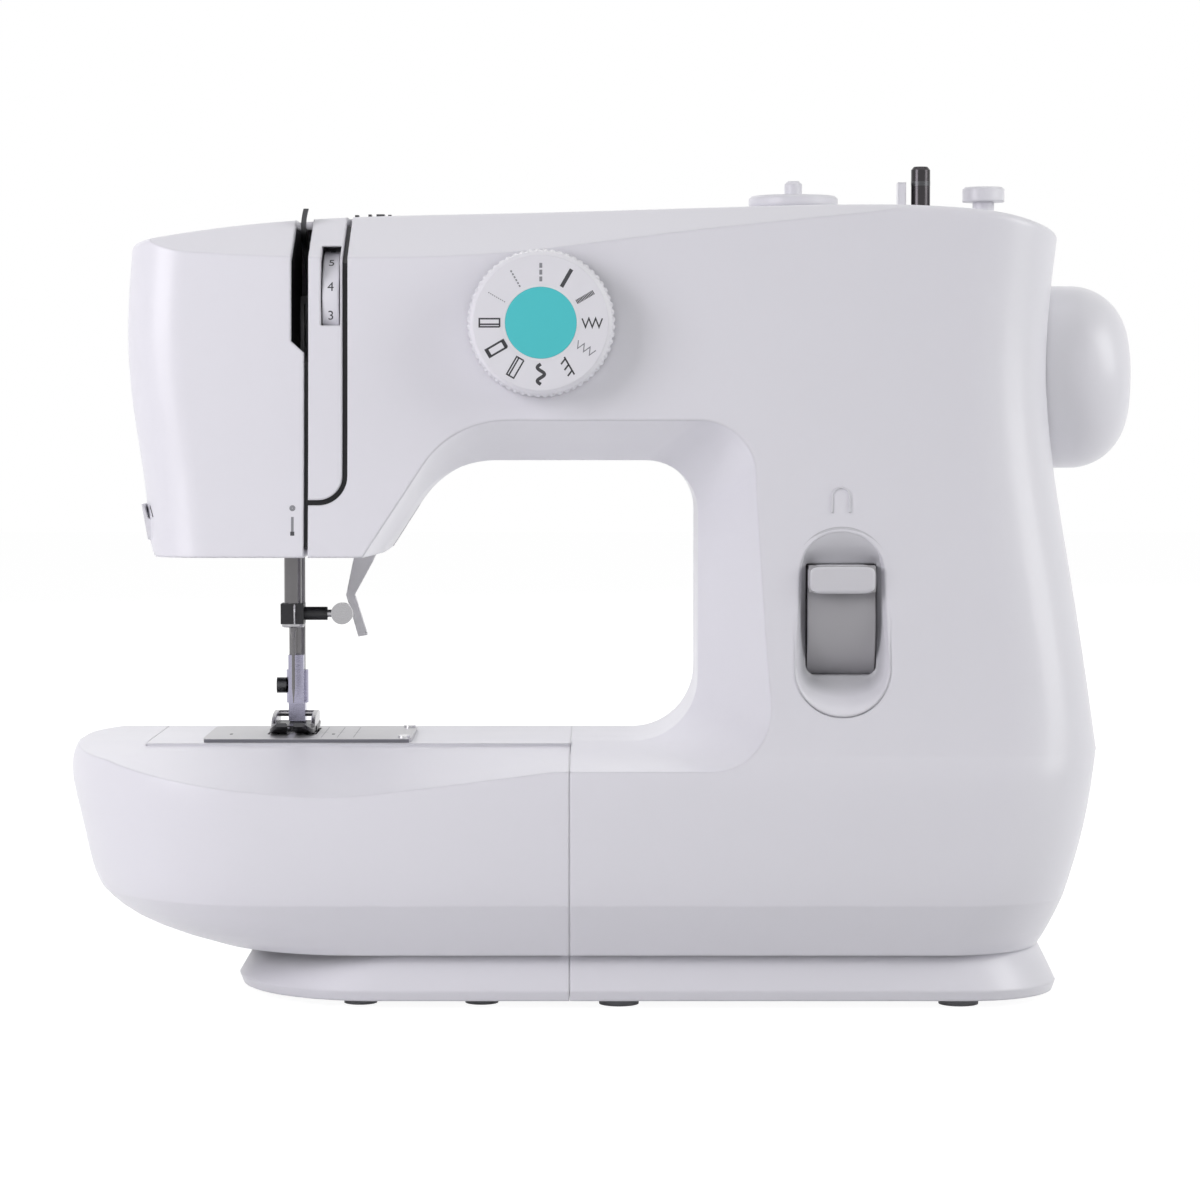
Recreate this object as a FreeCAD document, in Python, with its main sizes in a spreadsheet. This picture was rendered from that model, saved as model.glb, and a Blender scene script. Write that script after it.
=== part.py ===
"""A compact household sewing machine, built as an assembly of separate pieces.

Frame: +X to the handwheel, +Y to the back, +Z up. The origin is on the table, under the
middle of the machine's bounding box. All sizes are in millimetres.
"""
import FreeCAD
import Part
import Sketcher

import math
import os
import re

from FreeCAD import Placement, Rotation, Vector

# Driving dimensions, by group. Each one becomes a named cell of the sheet.
DIMENSIONS = {
    # Heights of the casing's main levels.
    "foot_height": 2.5, "plinth_flare_z": 5.4, "plinth_top_z": 16.0, "hull_ridge_z": 32.0,
    "bed_z": 76.0, "head_bottom_z": 134.6, "throat_top_z": 163.2, "arm_top_z": 240.0,
    # Reaches of the casing to the left, the right and the front.
    "tray_left_x": 164.3, "plinth_left_x": 111.6, "head_left_x": 143.0, "throat_right_x": 30.3,
    "plinth_right_x": 139.1, "waist_right_x": 136.7, "hip_right_x": 151.1, "top_right_x": 141.7,
    "base_half_depth": 71.0, "bed_half_depth": 65.5, "waist_half_depth": 50.0, "top_half_depth": 47.5,
    "plinth_half_depth": 64.0,
    # Corner radii of the casing seen from above, and its wall.
    "base_corner": 30.0, "column_corner": 26.0, "head_corner": 18.0, "bow_radius": 58.0, "wall": 2.5, "rim_round": 2.5,
    # The throat: its corners and the bevel that widens it towards the front.
    "throat_low_corner": 20.0, "throat_high_corner": 16.0, "throat_sweep": 30.0, "throat_lean_x": 18.4,
    "head_right_x": 67.0, "bevel_back_y": 15.0, "bevel_right": 28.6, "bevel_top": 22.5, "bevel_low": 5.5,
    "rear_bevel_low": 9.0, "rear_bevel_wall": 5.0,
    # The shoulder that slopes up from the front of the arm, and the tray's falling front edge.
    "shoulder_low_z": 221.0, "shoulder_slope": 0.57, "tray_dip": 11.2,
    # Seams between the covers, the tray and the free arm.
    "face_seam_x": 87.35, "face_gap": 1.35, "tray_seam_x": 9.0, "tray_gap": 0.15, "split_y": 0.0,
    "free_arm_left_x": 140.0, "free_arm_front_y": 24.0, "free_arm_back_y": 36.0, "free_arm_low_z": 22.0,
    "free_arm_corner": 6.0, "platform_top_z": 13.0, "pan_thickness": 3.0, "seat_gap": 0.2,
    # Thread slots, tension dial and take-up lever in the head.
    "slot_left_x": 92.6, "slot_low_z": 199.3, "slot_toe": 3.5, "slot_back_y": 14.0, "guide_slot_x": 76.4, "guide_slot_width": 1.6,
    "guide_slot_low_z": 151.0, "tension_x": 80.7, "tension_width": 5.0, "tension_radius": 15.3,
    "tension_y": 33.0, "tension_z": 211.5, "tension_window": 23.4, "tension_post_radius": 3.0,
    "disc_radius": 10.0, "disc_thickness": 0.5, "take_up_x": 90.2, "take_up_thickness": 1.6,
    "take_up_pivot_y": 8.0, "take_up_pivot_z": 214.0, "take_up_tip_y": 30.0, "take_up_tip_z": 241.0,
    "take_up_pin_radius": 2.0,
    # Upper shaft and what it carries.
    "shaft_z": 189.0, "shaft_radius": 5.0, "shaft_left_x": 75.0, "running_gap": 0.05,
    "handwheel_radius": 28.4, "handwheel_width": 30.1, "handwheel_gap": 0.8, "handwheel_round": 17.5,
    "pocket_depth": 3.0, "pocket_gap": 1.2,
    "belt_wheel_radius": 24.0, "belt_wheel_x": 112.0, "belt_wheel_width": 8.0,
    "timing_radius": 12.0, "timing_x": 92.0, "timing_width": 9.0, "belt_thickness": 1.6,
    "belt_gap": 0.25, "crank_radius": 17.0, "crank_width": 6.0, "crank_throw": 13.0, "crank_pin_radius": 2.5,
    # Lower shaft, motor and hook.
    "low_shaft_z": 40.0, "low_shaft_radius": 4.0, "low_shaft_left_x": 62.0, "hook_z": 50.0, "hook_radius": 16.0,
    "race_wall": 2.5, "race_front_y": 16.0, "race_depth": 12.0, "hook_shaft_radius": 4.0, "bobbin_radius": 10.2,
    "bobbin_width": 8.0, "case_wall": 1.2, "motor_radius": 20.0, "motor_length": 58.0, "motor_right_x": 88.0,
    "motor_y": 30.0, "motor_z": 42.0, "motor_wheel_radius": 4.5, "motor_shaft_radius": 2.5,
    # Needle bar, presser bar and feed.
    "needle_x": 96.6, "needle_bar_radius": 2.75, "needle_bar_low_z": 112.0, "needle_bar_top_z": 221.0,
    "needle_point_z": 86.5, "needle_radius": 0.9, "blade_radius": 0.5, "blade_length": 20.5, "stud_z": 168.0, "stud_radius": 2.0, "clamp_z": 114.8,
    "clamp_height": 6.4, "clamp_width": 7.2, "presser_y": 15.0, "presser_radius": 2.6, "presser_low_z": 86.0, "bracket_z": 156.0, "spring_radius": 4.5, "spring_wire": 0.8,
    "presser_top_z": 200.0, "foot_length": 27.0, "foot_width": 14.5, "foot_plate": 1.6, "foot_clearance": 0.3,
    "lifter_pivot_x": 70.0, "lifter_pivot_z": 150.0, "lifter_y": 30.0, "lifter_width": 4.0,
    "plate_left_x": 123.0, "plate_right_x": 58.5, "plate_half_depth": 22.0, "plate_thickness": 1.2, "plate_corner": 4.0,
    # Frame castings.
    "beam_y": 22.0, "beam_thickness": 8.0, "beam_low_z": 170.0, "beam_top_z": 208.0, "post_x": 58.0,
    "post_width": 30.0, "bed_beam_low_z": 28.0, "bed_beam_top_z": 58.0,
    # Controls on the front and right.
    "dial_x": 17.5, "dial_z": 204.5, "dial_radius": 22.0, "dial_height": 11.0, "dial_ribs": 60,
    "dial_shaft_radius": 4.0, "cam_radius": 16.0, "lever_x": 72.3, "lever_z": 116.0, "lever_y": 31.0,
    "lever_radius": 24.0, "lever_width": 20.4, "window_width": 21.2, "window_height": 33.5, "dish_width": 26.5,
    "dish_height": 54.5, "dish_depth": 6.0, "switch_z": 50.0, "switch_y": 14.0, "inlet_y": 16.0,
    # Fittings on top.
    "spool_x": 61.2, "spool_y": 14.0, "spool_seat_radius": 14.1, "spool_pin_radius": 2.8, "spool_pin_rise": 11.0,
    "spool_pin_length": 56.0, "winder_x": 100.8, "winder_y": 6.0, "winder_radius": 3.0, "winder_rise": 15.0,
    "winder_wheel_radius": 8.0, "peg_x": 82.8, "peg_y": 8.0, "stop_x": 121.0, "stop_y": 10.0, "stop_radius": 6.6, "stop_rise": 8.8,
    # Feet.
    "foot_radius": 6.0, "tray_foot_radius": 5.0,
}

doc = FreeCAD.newDocument("SewingMachine")
sheet = doc.addObject("Spreadsheet::Sheet", "Dims")
for row, (alias, number) in enumerate(DIMENSIONS.items(), start=1):
    sheet.set(f"A{row}", alias)
    sheet.set(f"B{row}", str(number))
    sheet.setAlias(f"B{row}", alias)
doc.recompute()

SUBPARTS = []
TURN_TO = {"x": Rotation(Vector(0, 1, 0), 90), "y": Rotation(Vector(1, 0, 0), -90), "z": Rotation(),
           "front": Rotation(Vector(1, 0, 0), 90)}
FAR = 400.0


def dim(alias):
    """The number in the sheet's cell of that name."""
    return float(sheet.get(alias))


def linked(text):
    """An expression with each named size read from the sheet."""
    return re.sub(r"[a-z_]{3,}[a-z0-9_]*", lambda m: f"Dims.{m.group(0)}" if m.group(0) in DIMENSIONS else m.group(0), str(text))


def bind(thing, prop, text):
    thing.setExpression(prop, linked(text))


def place(thing, at, axis="z"):
    """Puts a thing at a point given by expressions, with its own Z turned to an axis."""
    thing.Placement = Placement(Vector(), TURN_TO[axis])
    for letter, text in zip("xyz", at):
        bind(thing, f"Placement.Base.{letter}", text)
    return thing


def subpart(thing, label):
    """Marks a finished object as a piece of the machine."""
    thing.Label = label
    SUBPARTS.append(thing)
    return thing


def rod(radius, length, at, axis="z"):
    thing = doc.addObject("Part::Cylinder", "rod")
    bind(thing, "Radius", radius)
    bind(thing, "Height", length)
    return place(thing, at, axis)


def cone(radius1, radius2, length, at, axis="z"):
    thing = doc.addObject("Part::Cone", "cone")
    bind(thing, "Radius1", radius1)
    bind(thing, "Radius2", radius2)
    bind(thing, "Height", length)
    return place(thing, at, axis)


def block(low, high):
    """A box between two corners given by expressions."""
    thing = doc.addObject("Part::Box", "block")
    for prop, first, last in zip(("Length", "Width", "Height"), low, high):
        bind(thing, prop, f"({last}) - ({first})")
    return place(thing, [f"{text}" for text in low])


def fuse(*things):
    joined = doc.addObject("Part::MultiFuse", "joined")
    joined.Shapes = list(things)
    joined.Refine = True
    return joined


def cut(base, *tools):
    for tool in tools:
        result = doc.addObject("Part::Cut", "cut")
        result.Base = base
        result.Tool = tool
        base = result
    return base


def common(base, tool):
    result = doc.addObject("Part::Common", "common")
    result.Base = base
    result.Tool = tool
    return result


def group(*things):
    """Separate solids kept as one node."""
    gathered = doc.addObject("Part::Compound", "group")
    gathered.Links = list(things)
    return gathered


def shaped(shape, label=None):
    """A piece whose form is worked out with Part's own functions."""
    thing = doc.addObject("Part::Feature", label or "form")
    thing.Shape = shape
    return subpart(thing, label) if label else thing


def ring(outer, inner, length, at, axis):
    return cut(rod(outer, length, at, axis), rod(inner, length, at, axis))


# Outlines made of straight runs joined by tangent arcs.

def offset_corners(corners, shifts):
    """Moves each run of a closed outline outwards by its own shift. Corners run clockwise or
    counter-clockwise as (u, v, radius), and run i goes from corner i to corner i + 1."""
    count = len(corners)
    area = sum(corners[i][0] * corners[(i + 1) % count][1] - corners[(i + 1) % count][0] * corners[i][1]
               for i in range(count))
    side = 1.0 if area > 0 else -1.0
    lines = []
    for i in range(count):
        (u0, v0, _), (u1, v1, _) = corners[i], corners[(i + 1) % count]
        length = math.hypot(u1 - u0, v1 - v0)
        normal = (side * (v1 - v0) / length, -side * (u1 - u0) / length)
        lines.append((normal, normal[0] * u0 + normal[1] * v0 + shifts[i]))
    moved = []
    for i in range(count):
        (n0, c0), (n1, c1) = lines[i - 1], lines[i]
        det = n0[0] * n1[1] - n0[1] * n1[0]
        moved.append(((c0 * n1[1] - c1 * n0[1]) / det, (n0[0] * c1 - n1[0] * c0) / det, corners[i][2]))
    return moved


def corner_wire(corners, to_space):
    """A closed wire through rounded corners, set in space by a function of (u, v)."""
    count = len(corners)
    entries, exits, edges = [], [], []
    for i, (u, v, radius) in enumerate(corners):
        here = Vector(u, v, 0)
        back = (Vector(*corners[i - 1][:2], 0) - here).normalize()
        ahead = (Vector(*corners[(i + 1) % count][:2], 0) - here).normalize()
        half = math.acos(max(-1.0, min(1.0, back.dot(ahead)))) / 2
        if radius <= 0:
            entries.append(here)
            exits.append((None, here))
            continue
        run = radius / math.tan(half)
        middle = (back + ahead).normalize() * (radius / math.sin(half) - radius) + here
        entries.append(here + back * run)
        exits.append((middle, here + ahead * run))
    for i in range(count):
        middle, end = exits[i]
        start = entries[i]
        if middle is not None:
            points = [Vector(*to_space(p.x, p.y)) for p in (start, middle, end)]
            edges.append(Part.Arc(*points).toShape())
        after = entries[(i + 1) % count]
        edges.append(Part.LineSegment(Vector(*to_space(end.x, end.y)), Vector(*to_space(after.x, after.y))).toShape())
    return Part.Wire(edges)


def prism_y(corners, y_low, y_high):
    """An outline in X and Z, carried along Y."""
    wire = corner_wire(corners, lambda u, v: (u, y_low, v))
    form = Part.Face(wire).extrude(Vector(0, y_high - y_low, 0))
    return form if form.Volume > 0 else form.reversed()


def box_between(low, high):
    return Part.makeBox(*[b - a for a, b in zip(low, high)], Vector(*low))


def loft(wires, ruled):
    """A solid drawn through outlines, turned right side out."""
    form = Part.makeLoft(wires, True, ruled)
    return form if form.Volume > 0 else form.reversed()


# The casing: one form for the outside, and the same form drawn in by the wall for the inside.

def level(z, left, right, half_depth, bow, stern):
    """A rounded outline of the casing at one height."""
    corners = [(left, -half_depth, bow), (right, -half_depth, stern), (right, half_depth, stern), (left, half_depth, bow)]
    return corner_wire(corners, lambda u, v: (u, v, z))


def levels(inset, rows):
    """Outlines at several heights, drawn in by an inset."""
    return [level(z, left + inset, right - inset, depth - inset, max(bow - inset, 2.0), max(stern - inset, 2.0))
            for z, left, right, depth, bow, stern in rows]


def hull_form(inset):
    """The lower body: a bow-ended hull over a flared plinth."""
    ridge, bed, top = dim("hull_ridge_z"), dim("bed_z"), dim("plinth_top_z")
    left, hip, depth = -dim("tray_left_x"), dim("hip_right_x"), dim("base_half_depth")
    bow, stern, plinth = dim("bow_radius"), dim("base_corner"), dim("plinth_half_depth")
    low_left, low_right, flare = -dim("plinth_left_x"), dim("plinth_right_x"), dim("plinth_flare_z")
    rise = bed - ridge
    bed_depth = dim("bed_half_depth")
    sides = loft(levels(inset, [
        (ridge, left + 9.7, hip - 10.5, depth, bow, stern),
        (ridge + 0.27 * rise, left + 5.4, hip - 6.8, depth, bow, stern),
        (ridge + 0.57 * rise, left + 2.2, hip - 3.4, depth - 0.25 * (depth - bed_depth), bow, stern),
        (ridge + 0.84 * rise, left, hip - 1.2, depth - 0.6 * (depth - bed_depth), bow, stern),
        (bed, left + 1.8, hip, bed_depth, bow, stern)]), False)
    drop = ridge - top
    rows = []
    for step in range(7):
        share = step / 6.0
        turn = share ** 3
        rows.append((ridge - share * drop, left + 9.7 + 32.3 * (0.42 * share + 0.58 * turn), hip - 10.5 - 5.9 * share - 0.9 * turn,
                     depth - 8.2 * share - 0.8 * turn, bow - 8.0 * turn, stern))
    under = loft(levels(inset, rows), True)
    base = dim("foot_height")
    foot = loft(levels(inset, [
        (top + 1.0, low_left + 7.4, low_right - 5.4, plinth - 6.5, bow - 14.0, stern - 2.0),
        (0.55 * top + 0.45 * flare, low_left + 3.4, low_right - 2.6, plinth - 3.2, bow - 14.0, stern - 2.0),
        (flare, low_left, low_right, plinth, bow - 14.0, stern - 2.0),
        (base, low_left + 1.0, low_right - 0.9, plinth - 0.8, bow - 14.0, stern - 2.0)]), True)
    return sides.fuse([under, foot]).removeSplitter()


def tower_form(inset):
    """The column and arm before the throat is opened: an outline that narrows to the waist."""
    bed, head, waist = dim("bed_z"), dim("head_bottom_z"), dim("shaft_z")
    top = dim("arm_top_z") + 6.0
    left, hip, narrow = -dim("head_left_x"), dim("hip_right_x"), dim("waist_right_x")
    bed_depth, waist_depth, top_depth = dim("bed_half_depth"), dim("waist_half_depth"), dim("top_half_depth")
    spread, flare = hip - narrow, bed_depth - waist_depth
    corner, nose = dim("column_corner"), dim("head_corner")
    rows = [(bed, left + 13.0, hip, bed_depth, nose, dim("base_corner"))]
    for share, out, lean, reach in ((0.22, 0.76, 0.66, 10.0), (0.50, 0.44, 0.35, 7.0), (0.72, 0.18, 0.15, 4.5)):
        z = bed + share * (waist - bed)
        rows.append((z, left + reach, narrow + out * spread, waist_depth + lean * flare, nose, corner))
    rows.append((waist, left, narrow, waist_depth, nose, corner))
    rows.append((0.5 * (waist + top), left, narrow + 1.6, 0.5 * (waist_depth + top_depth) - 0.2, nose, corner))
    rows.append((top, left + 1.5, dim("top_right_x"), top_depth, nose, corner))
    return loft(levels(inset, rows), False)


def throat_corners():
    """The outline of the throat and of the open space under the head, seen from the front."""
    bed, head, top = dim("bed_z"), dim("head_bottom_z"), dim("throat_top_z")
    right, head_right, chin = dim("throat_right_x"), -dim("head_right_x"), -dim("head_left_x") + 8.8
    return [(-FAR, bed, 0), (right, bed, dim("throat_low_corner")), (right, top, dim("throat_high_corner")),
            (head_right + dim("throat_lean_x"), top, dim("throat_sweep")), (head_right, head, 0),
            (chin, head, 1.5), (chin - 0.45 * FAR, head + FAR, 0)]


def throat_form(inset):
    """What is taken away for the throat: a straight opening, and bevels that widen it to the front and the rear."""
    plain = throat_corners()
    grown = offset_corners(plain, [inset] * len(plain))
    straight = prism_y(grown, -FAR, FAR)
    back, front = -dim("bevel_back_y"), -dim("base_half_depth") - 9.0
    wide = [dim("bevel_low") + inset, dim("bevel_right") + inset, dim("bevel_top") + inset, dim("bevel_low") + inset,
            inset, inset, 0.0]
    near = corner_wire(offset_corners(plain, wide), lambda u, v: (u, front, v))
    far = corner_wire(grown, lambda u, v: (u, back + inset, v))
    rear_start, rear_end = dim("free_arm_back_y"), dim("base_half_depth") + 9.0
    rear_wall = dim("rear_bevel_wall") + inset
    spread = [dim("rear_bevel_low") + inset, rear_wall, rear_wall, rear_wall, inset, inset, 0.0]
    begin = corner_wire(grown, lambda u, v: (u, rear_start - inset, v))
    end = corner_wire(offset_corners(plain, spread), lambda u, v: (u, rear_end, v))
    return straight, loft([near, far], True), loft([begin, end], True)


def top_form(inset):
    """The space above the arm's gently bowed top line."""
    top = dim("arm_top_z") - inset
    left, right = -dim("head_left_x") - 4.0, dim("top_right_x") + 1.0
    points = [(left, top - 12.5), (left + 40.0, top - 4.9), (left + 110.0, top - 1.4), (0.26 * right, top),
              (0.72 * right, top - 0.2), (right - 16.0, top - 3.2), (right, top - 9.0)]
    crown = Part.BSplineCurve()
    crown.interpolate([Vector(x, -FAR, z) for x, z in points])
    first, last = points[0], points[-1]
    loop = [crown.toShape()]
    path = [(last[0], last[1]), (right + 60.0, last[1] - 30.0), (right + 60.0, FAR), (left - 60.0, FAR),
            (left - 60.0, first[1] - 30.0), (first[0], first[1])]
    for (x0, z0), (x1, z1) in zip(path, path[1:]):
        loop.append(Part.LineSegment(Vector(x0, -FAR, z0), Vector(x1, -FAR, z1)).toShape())
    form = Part.Face(Part.Wire(loop)).extrude(Vector(0, 2 * FAR, 0))
    return form if form.Volume > 0 else form.reversed()


def shoulder_form(inset):
    """The wedge taken off the arm's front top edge. It is deep over the head and runs out to the right."""
    low, slope = dim("shoulder_low_z") - 1.15 * inset, dim("shoulder_slope")
    face = -dim("waist_half_depth") + 1.7
    left = -dim("head_left_x")
    rises = [(left - 8.0, 7.4), (left + 26.0, 4.6), (left + 56.0, 3.4), (left + 86.0, 3.4), (left + 116.0, 4.8),
             (left + 146.0, 8.2), (left + 176.0, 11.8), (left + 216.0, 15.8), (left + 256.0, 20.5)]
    sections = []
    for x, rise in rises:
        front, back = face - 25.0, face + 75.0
        points = [(front, low + rise - 25.0 * slope), (back, low + rise + 75.0 * slope), (front, low + 90.0)]
        sections.append(Part.makePolygon([Vector(x, y, z) for y, z in points + points[:1]]))
    return loft(sections, False)


def tray_dip_form(inset):
    """The wedge taken off the tray's top, so that its front edge falls and rises again in a wave."""
    bed, dip = dim("bed_z") - inset, dim("tray_dip")
    back, front = -dim("free_arm_front_y"), -dim("base_half_depth") - 9.0
    left, seam = -dim("tray_left_x"), -dim("tray_seam_x")
    reach = (back - front) / (back + dim("bed_half_depth"))
    length = seam - left
    waves = [(-0.02, 0.30), (0.10, 0.44), (0.19, 0.61), (0.35, 0.82), (0.50, 0.97), (0.58, 0.96), (0.66, 0.87),
             (0.81, 0.64), (0.96, 0.40), (1.06, 0.28), (1.20, 0.10)]
    sections = []
    for share, depth in waves:
        x = left + share * length
        points = [(back, bed), (front, bed - depth * dip * reach), (front, bed + 40.0), (back, bed + 40.0)]
        sections.append(Part.makePolygon([Vector(x, y, z) for y, z in points + points[:1]]))
    return loft(sections, False)


def casing_form(inset):
    """The machine's whole outer form, or its hollow when drawn in by the wall."""
    straight, bevel, rear_bevel = throat_form(inset)
    tower = tower_form(inset).cut([straight, bevel, rear_bevel, top_form(inset), shoulder_form(inset)])
    hull = hull_form(inset).cut([bevel, rear_bevel, tray_dip_form(inset)])
    if inset:
        lid = box_between((-FAR, -FAR, dim("bed_z") - inset), (dim("throat_right_x") + inset, FAR, FAR))
        hull = hull.cut(lid)
    return tower, hull


# Turned pieces: a half section drawn in a sketch and revolved about the piece's own axis.

def turned(label, points, at, axis):
    """A body turned from a half section of (radius, height) points given by expressions."""
    body = doc.addObject("PartDesign::Body", label)
    sketch = body.newObject("Sketcher::SketchObject", f"{label}_section")
    plane = next(f for f in body.Origin.OriginFeatures if f.Role == "XZ_Plane")
    sketch.AttachmentSupport = [(plane, "")]
    sketch.MapMode = "FlatFace"
    spots = [Vector(*(float(sheet.evalExpression(linked(text))) for text in pair), 0) for pair in points]
    count = len(spots)
    for i in range(count):
        sketch.addGeometry(Part.LineSegment(spots[i], spots[(i + 1) % count]), False)
    for i in range(count):
        sketch.addConstraint(Sketcher.Constraint("Coincident", i, 2, (i + 1) % count, 1))
    for i, pair in enumerate(points):
        for kind, text, spot, axis_line in (("DistanceX", pair[0], spots[i].x, -2), ("DistanceY", pair[1], spots[i].y, -1)):
            if str(text) == "0":
                sketch.addConstraint(Sketcher.Constraint("PointOnObject", i, 1, axis_line))
                continue
            index = sketch.addConstraint(Sketcher.Constraint(kind, -1, 1, i, 1, spot))
            bind(sketch, f"Constraints[{index}]", text)
    spin = body.newObject("PartDesign::Revolution", f"{label}_turn")
    spin.Profile = sketch
    spin.ReferenceAxis = (sketch, ["V_Axis"])
    spin.Angle = 360.0
    return place(body, at, axis)


def slot_y(half_width, half_height, x, z, y_low, y_high):
    """A straight bar with half-round ends, standing in X and Z and carried along Y."""
    radius = min(half_width, half_height) - 0.01
    corners = [(x - half_width, z - half_height, radius), (x + half_width, z - half_height, radius),
               (x + half_width, z + half_height, radius), (x - half_width, z + half_height, radius)]
    return prism_y(corners, y_low, y_high)


# Casing pieces. The shell is parted at the face seam, at the middle of its depth and round the tray.

wall, gap = dim("wall"), dim("tray_gap")
tray_seam = -dim("tray_seam_x")
face_seam = -dim("face_seam_x") - dim("face_gap")
arm_left, arm_front, arm_back = -dim("free_arm_left_x"), -dim("free_arm_front_y"), dim("free_arm_back_y")
outer_tower, outer_hull = casing_form(0.0)
inner_tower, inner_hull = casing_form(wall)
right_of_seam = box_between((tray_seam, -FAR, -FAR), (FAR, FAR, FAR))
right_of_wall = box_between((tray_seam + wall, -FAR, -FAR), (FAR, FAR, FAR))
body_form = outer_tower.fuse(outer_hull.common(right_of_seam))
crown_faces = [f for f in body_form.Faces if f.Surface.TypeId.endswith("SurfaceOfExtrusion") and f.CenterOfMass.z > dim("shaft_z")]
body_form = body_form.makeFillet(dim("rim_round"), crown_faces[0].OuterWire.Edges)
hollow = inner_tower.fuse(inner_hull.common(right_of_wall))
dish_x, dish_z = dim("lever_x"), dim("lever_z")
dish_floor = -dim("lever_y") - dim("lever_radius") + dim("dish_depth") - 2.0
dish_wide, dish_high = 0.5 * dim("dish_width"), 0.5 * dim("dish_height")
dish_back = slot_y(dish_wide + wall, dish_high + wall, dish_x, dish_z, -FAR, dish_floor + wall)
dish_wires = []
for y, share in ((dish_floor - 12.0, 1.12), (dish_floor, 0.86)):
    half_w, half_h = share * dish_wide, dish_high - (1.0 - share) * dish_wide
    rim = [(dish_x - half_w, dish_z - half_h, half_w - 0.5), (dish_x + half_w, dish_z - half_h, half_w - 0.5),
           (dish_x + half_w, dish_z + half_h, half_w - 0.5), (dish_x - half_w, dish_z + half_h, half_w - 0.5)]
    dish_wires.append(corner_wire(rim, lambda u, v, y=y: (u, y, v)))
dish = loft(dish_wires, True)
pocket_floor = dim("waist_right_x") - dim("pocket_depth")
pocket_radius = dim("handwheel_radius") + dim("pocket_gap")
wheel_axis = Vector(1, 0, 0)
wheel_boss = Part.makeCylinder(pocket_radius + wall, 60.0, Vector(pocket_floor - wall, 0, dim("shaft_z")), wheel_axis)
wheel_pocket = Part.makeCylinder(pocket_radius, 60.0, Vector(pocket_floor, 0, dim("shaft_z")), wheel_axis)
shell = body_form.cut(hollow.cut([dish_back, wheel_boss])).cut([dish, wheel_pocket])

left_of_face = box_between((-FAR, -FAR, dim("bed_z") + 1.0), (face_seam, FAR, FAR))
front_half = box_between((face_seam, -FAR, -FAR), (FAR, dim("split_y"), FAR))
rear_half = box_between((face_seam, dim("split_y"), -FAR), (FAR, FAR, FAR))
face_form = shaped(shell.common(left_of_face))
front_form = shaped(shell.common(front_half))
rear_form = shaped(shell.common(rear_half))

# Openings in the three covers.

seam_slot = block(("-face_seam_x - face_gap - 1", "-base_half_depth", "head_bottom_z - 1"),
                  ("-face_seam_x", "-slot_back_y", "arm_top_z + 20"))
wide_slot = block(("-slot_left_x", "-base_half_depth", "slot_low_z"),
                  ("-face_seam_x", "-slot_back_y", "arm_top_z + 20"))
guide_slot = block(("-guide_slot_x - 0.5 * guide_slot_width", "-base_half_depth", "guide_slot_low_z + 8"),
                   ("-guide_slot_x + 0.5 * guide_slot_width", "-slot_back_y", "arm_top_z + 20"))
guide_run = block(("-face_seam_x - 1", "-base_half_depth", "guide_slot_low_z - 0.5 * guide_slot_width"),
                  ("-guide_slot_x - 8", "-slot_back_y - 10", "guide_slot_low_z + 0.5 * guide_slot_width"))
guide_turn = common(ring("8 + 0.5 * guide_slot_width", "8 - 0.5 * guide_slot_width", "base_half_depth - slot_back_y - 10",
                         ("-guide_slot_x - 8", "-base_half_depth", "guide_slot_low_z + 8"), "y"),
                    block(("-guide_slot_x - 8", "-base_half_depth", "guide_slot_low_z - 4"),
                          ("-guide_slot_x + 4", "-slot_back_y", "guide_slot_low_z + 8")))
dial_window = block(("-tension_x - 0.5 * tension_width - 0.4", "-base_half_depth", "tension_z - 0.32 * tension_window"),
                    ("-tension_x + 0.5 * tension_width + 0.4", "-tension_y + 1", "tension_z + 0.7 * tension_window"))
strip_window = block(("-tension_x - 0.5 * tension_width - 1", "-base_half_depth", "tension_z - 0.45 * tension_window"),
                     ("-tension_x + 0.5 * tension_width + 1", "0", "arm_top_z"))
head_hatch = block(("-needle_x - 14", "-16", "head_bottom_z - 1"), ("-needle_x + 27", "24", "head_bottom_z + wall + 1"))
lamp_hole = block(("-needle_x - 30", "-20", "head_bottom_z - 1"), ("-needle_x - 17", "-6", "head_bottom_z + wall + 1"))
cutter_hole = block(("-head_left_x - 2", "-32", "head_bottom_z + 12"), ("-head_left_x + 12", "-26", "head_bottom_z + 17"))
dial_hole = rod("dial_shaft_radius + 0.6", "waist_half_depth", ("-dial_x", "-waist_half_depth - 12", "dial_z"), "y")
lever_window = block(("lever_x - 0.5 * window_width", "-base_half_depth", "lever_z - 0.5 * window_height"),
                     ("lever_x + 0.5 * window_width", "-lever_y - 12", "lever_z + 0.5 * window_height"))
shaft_hole = rod("shaft_radius + 2", "40", ("waist_right_x - 20", "split_y", "shaft_z"), "x")
passage = block(("-tray_seam_x - 1", "-free_arm_front_y + wall", "free_arm_low_z + wall"),
                ("-tray_seam_x + wall + 1", "free_arm_back_y - wall", "bed_z - wall"))
bridge_slot = block(("-tray_seam_x - 1", "-free_arm_front_y + 3.8", "foot_height - 1"),
                    ("-tray_seam_x + wall + 1", "free_arm_back_y + 0.2", "foot_height + pan_thickness + 0.2"))
switch_hole = block(("hip_right_x - 25", "-switch_y - 6", "switch_z - 10"), ("hip_right_x + 5", "-switch_y + 6", "switch_z + 10"))
inlet_hole = block(("hip_right_x - 25", "inlet_y - 11", "switch_z - 9"), ("hip_right_x + 5", "inlet_y + 11", "switch_z + 9"))
lifter_hole = block(("-lifter_pivot_x - 16", "lifter_y - 0.5", "head_bottom_z - 1"),
                    ("-lifter_pivot_x + 25", "lifter_y + lifter_width + 1.5", "lifter_pivot_z - 2"))
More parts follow.
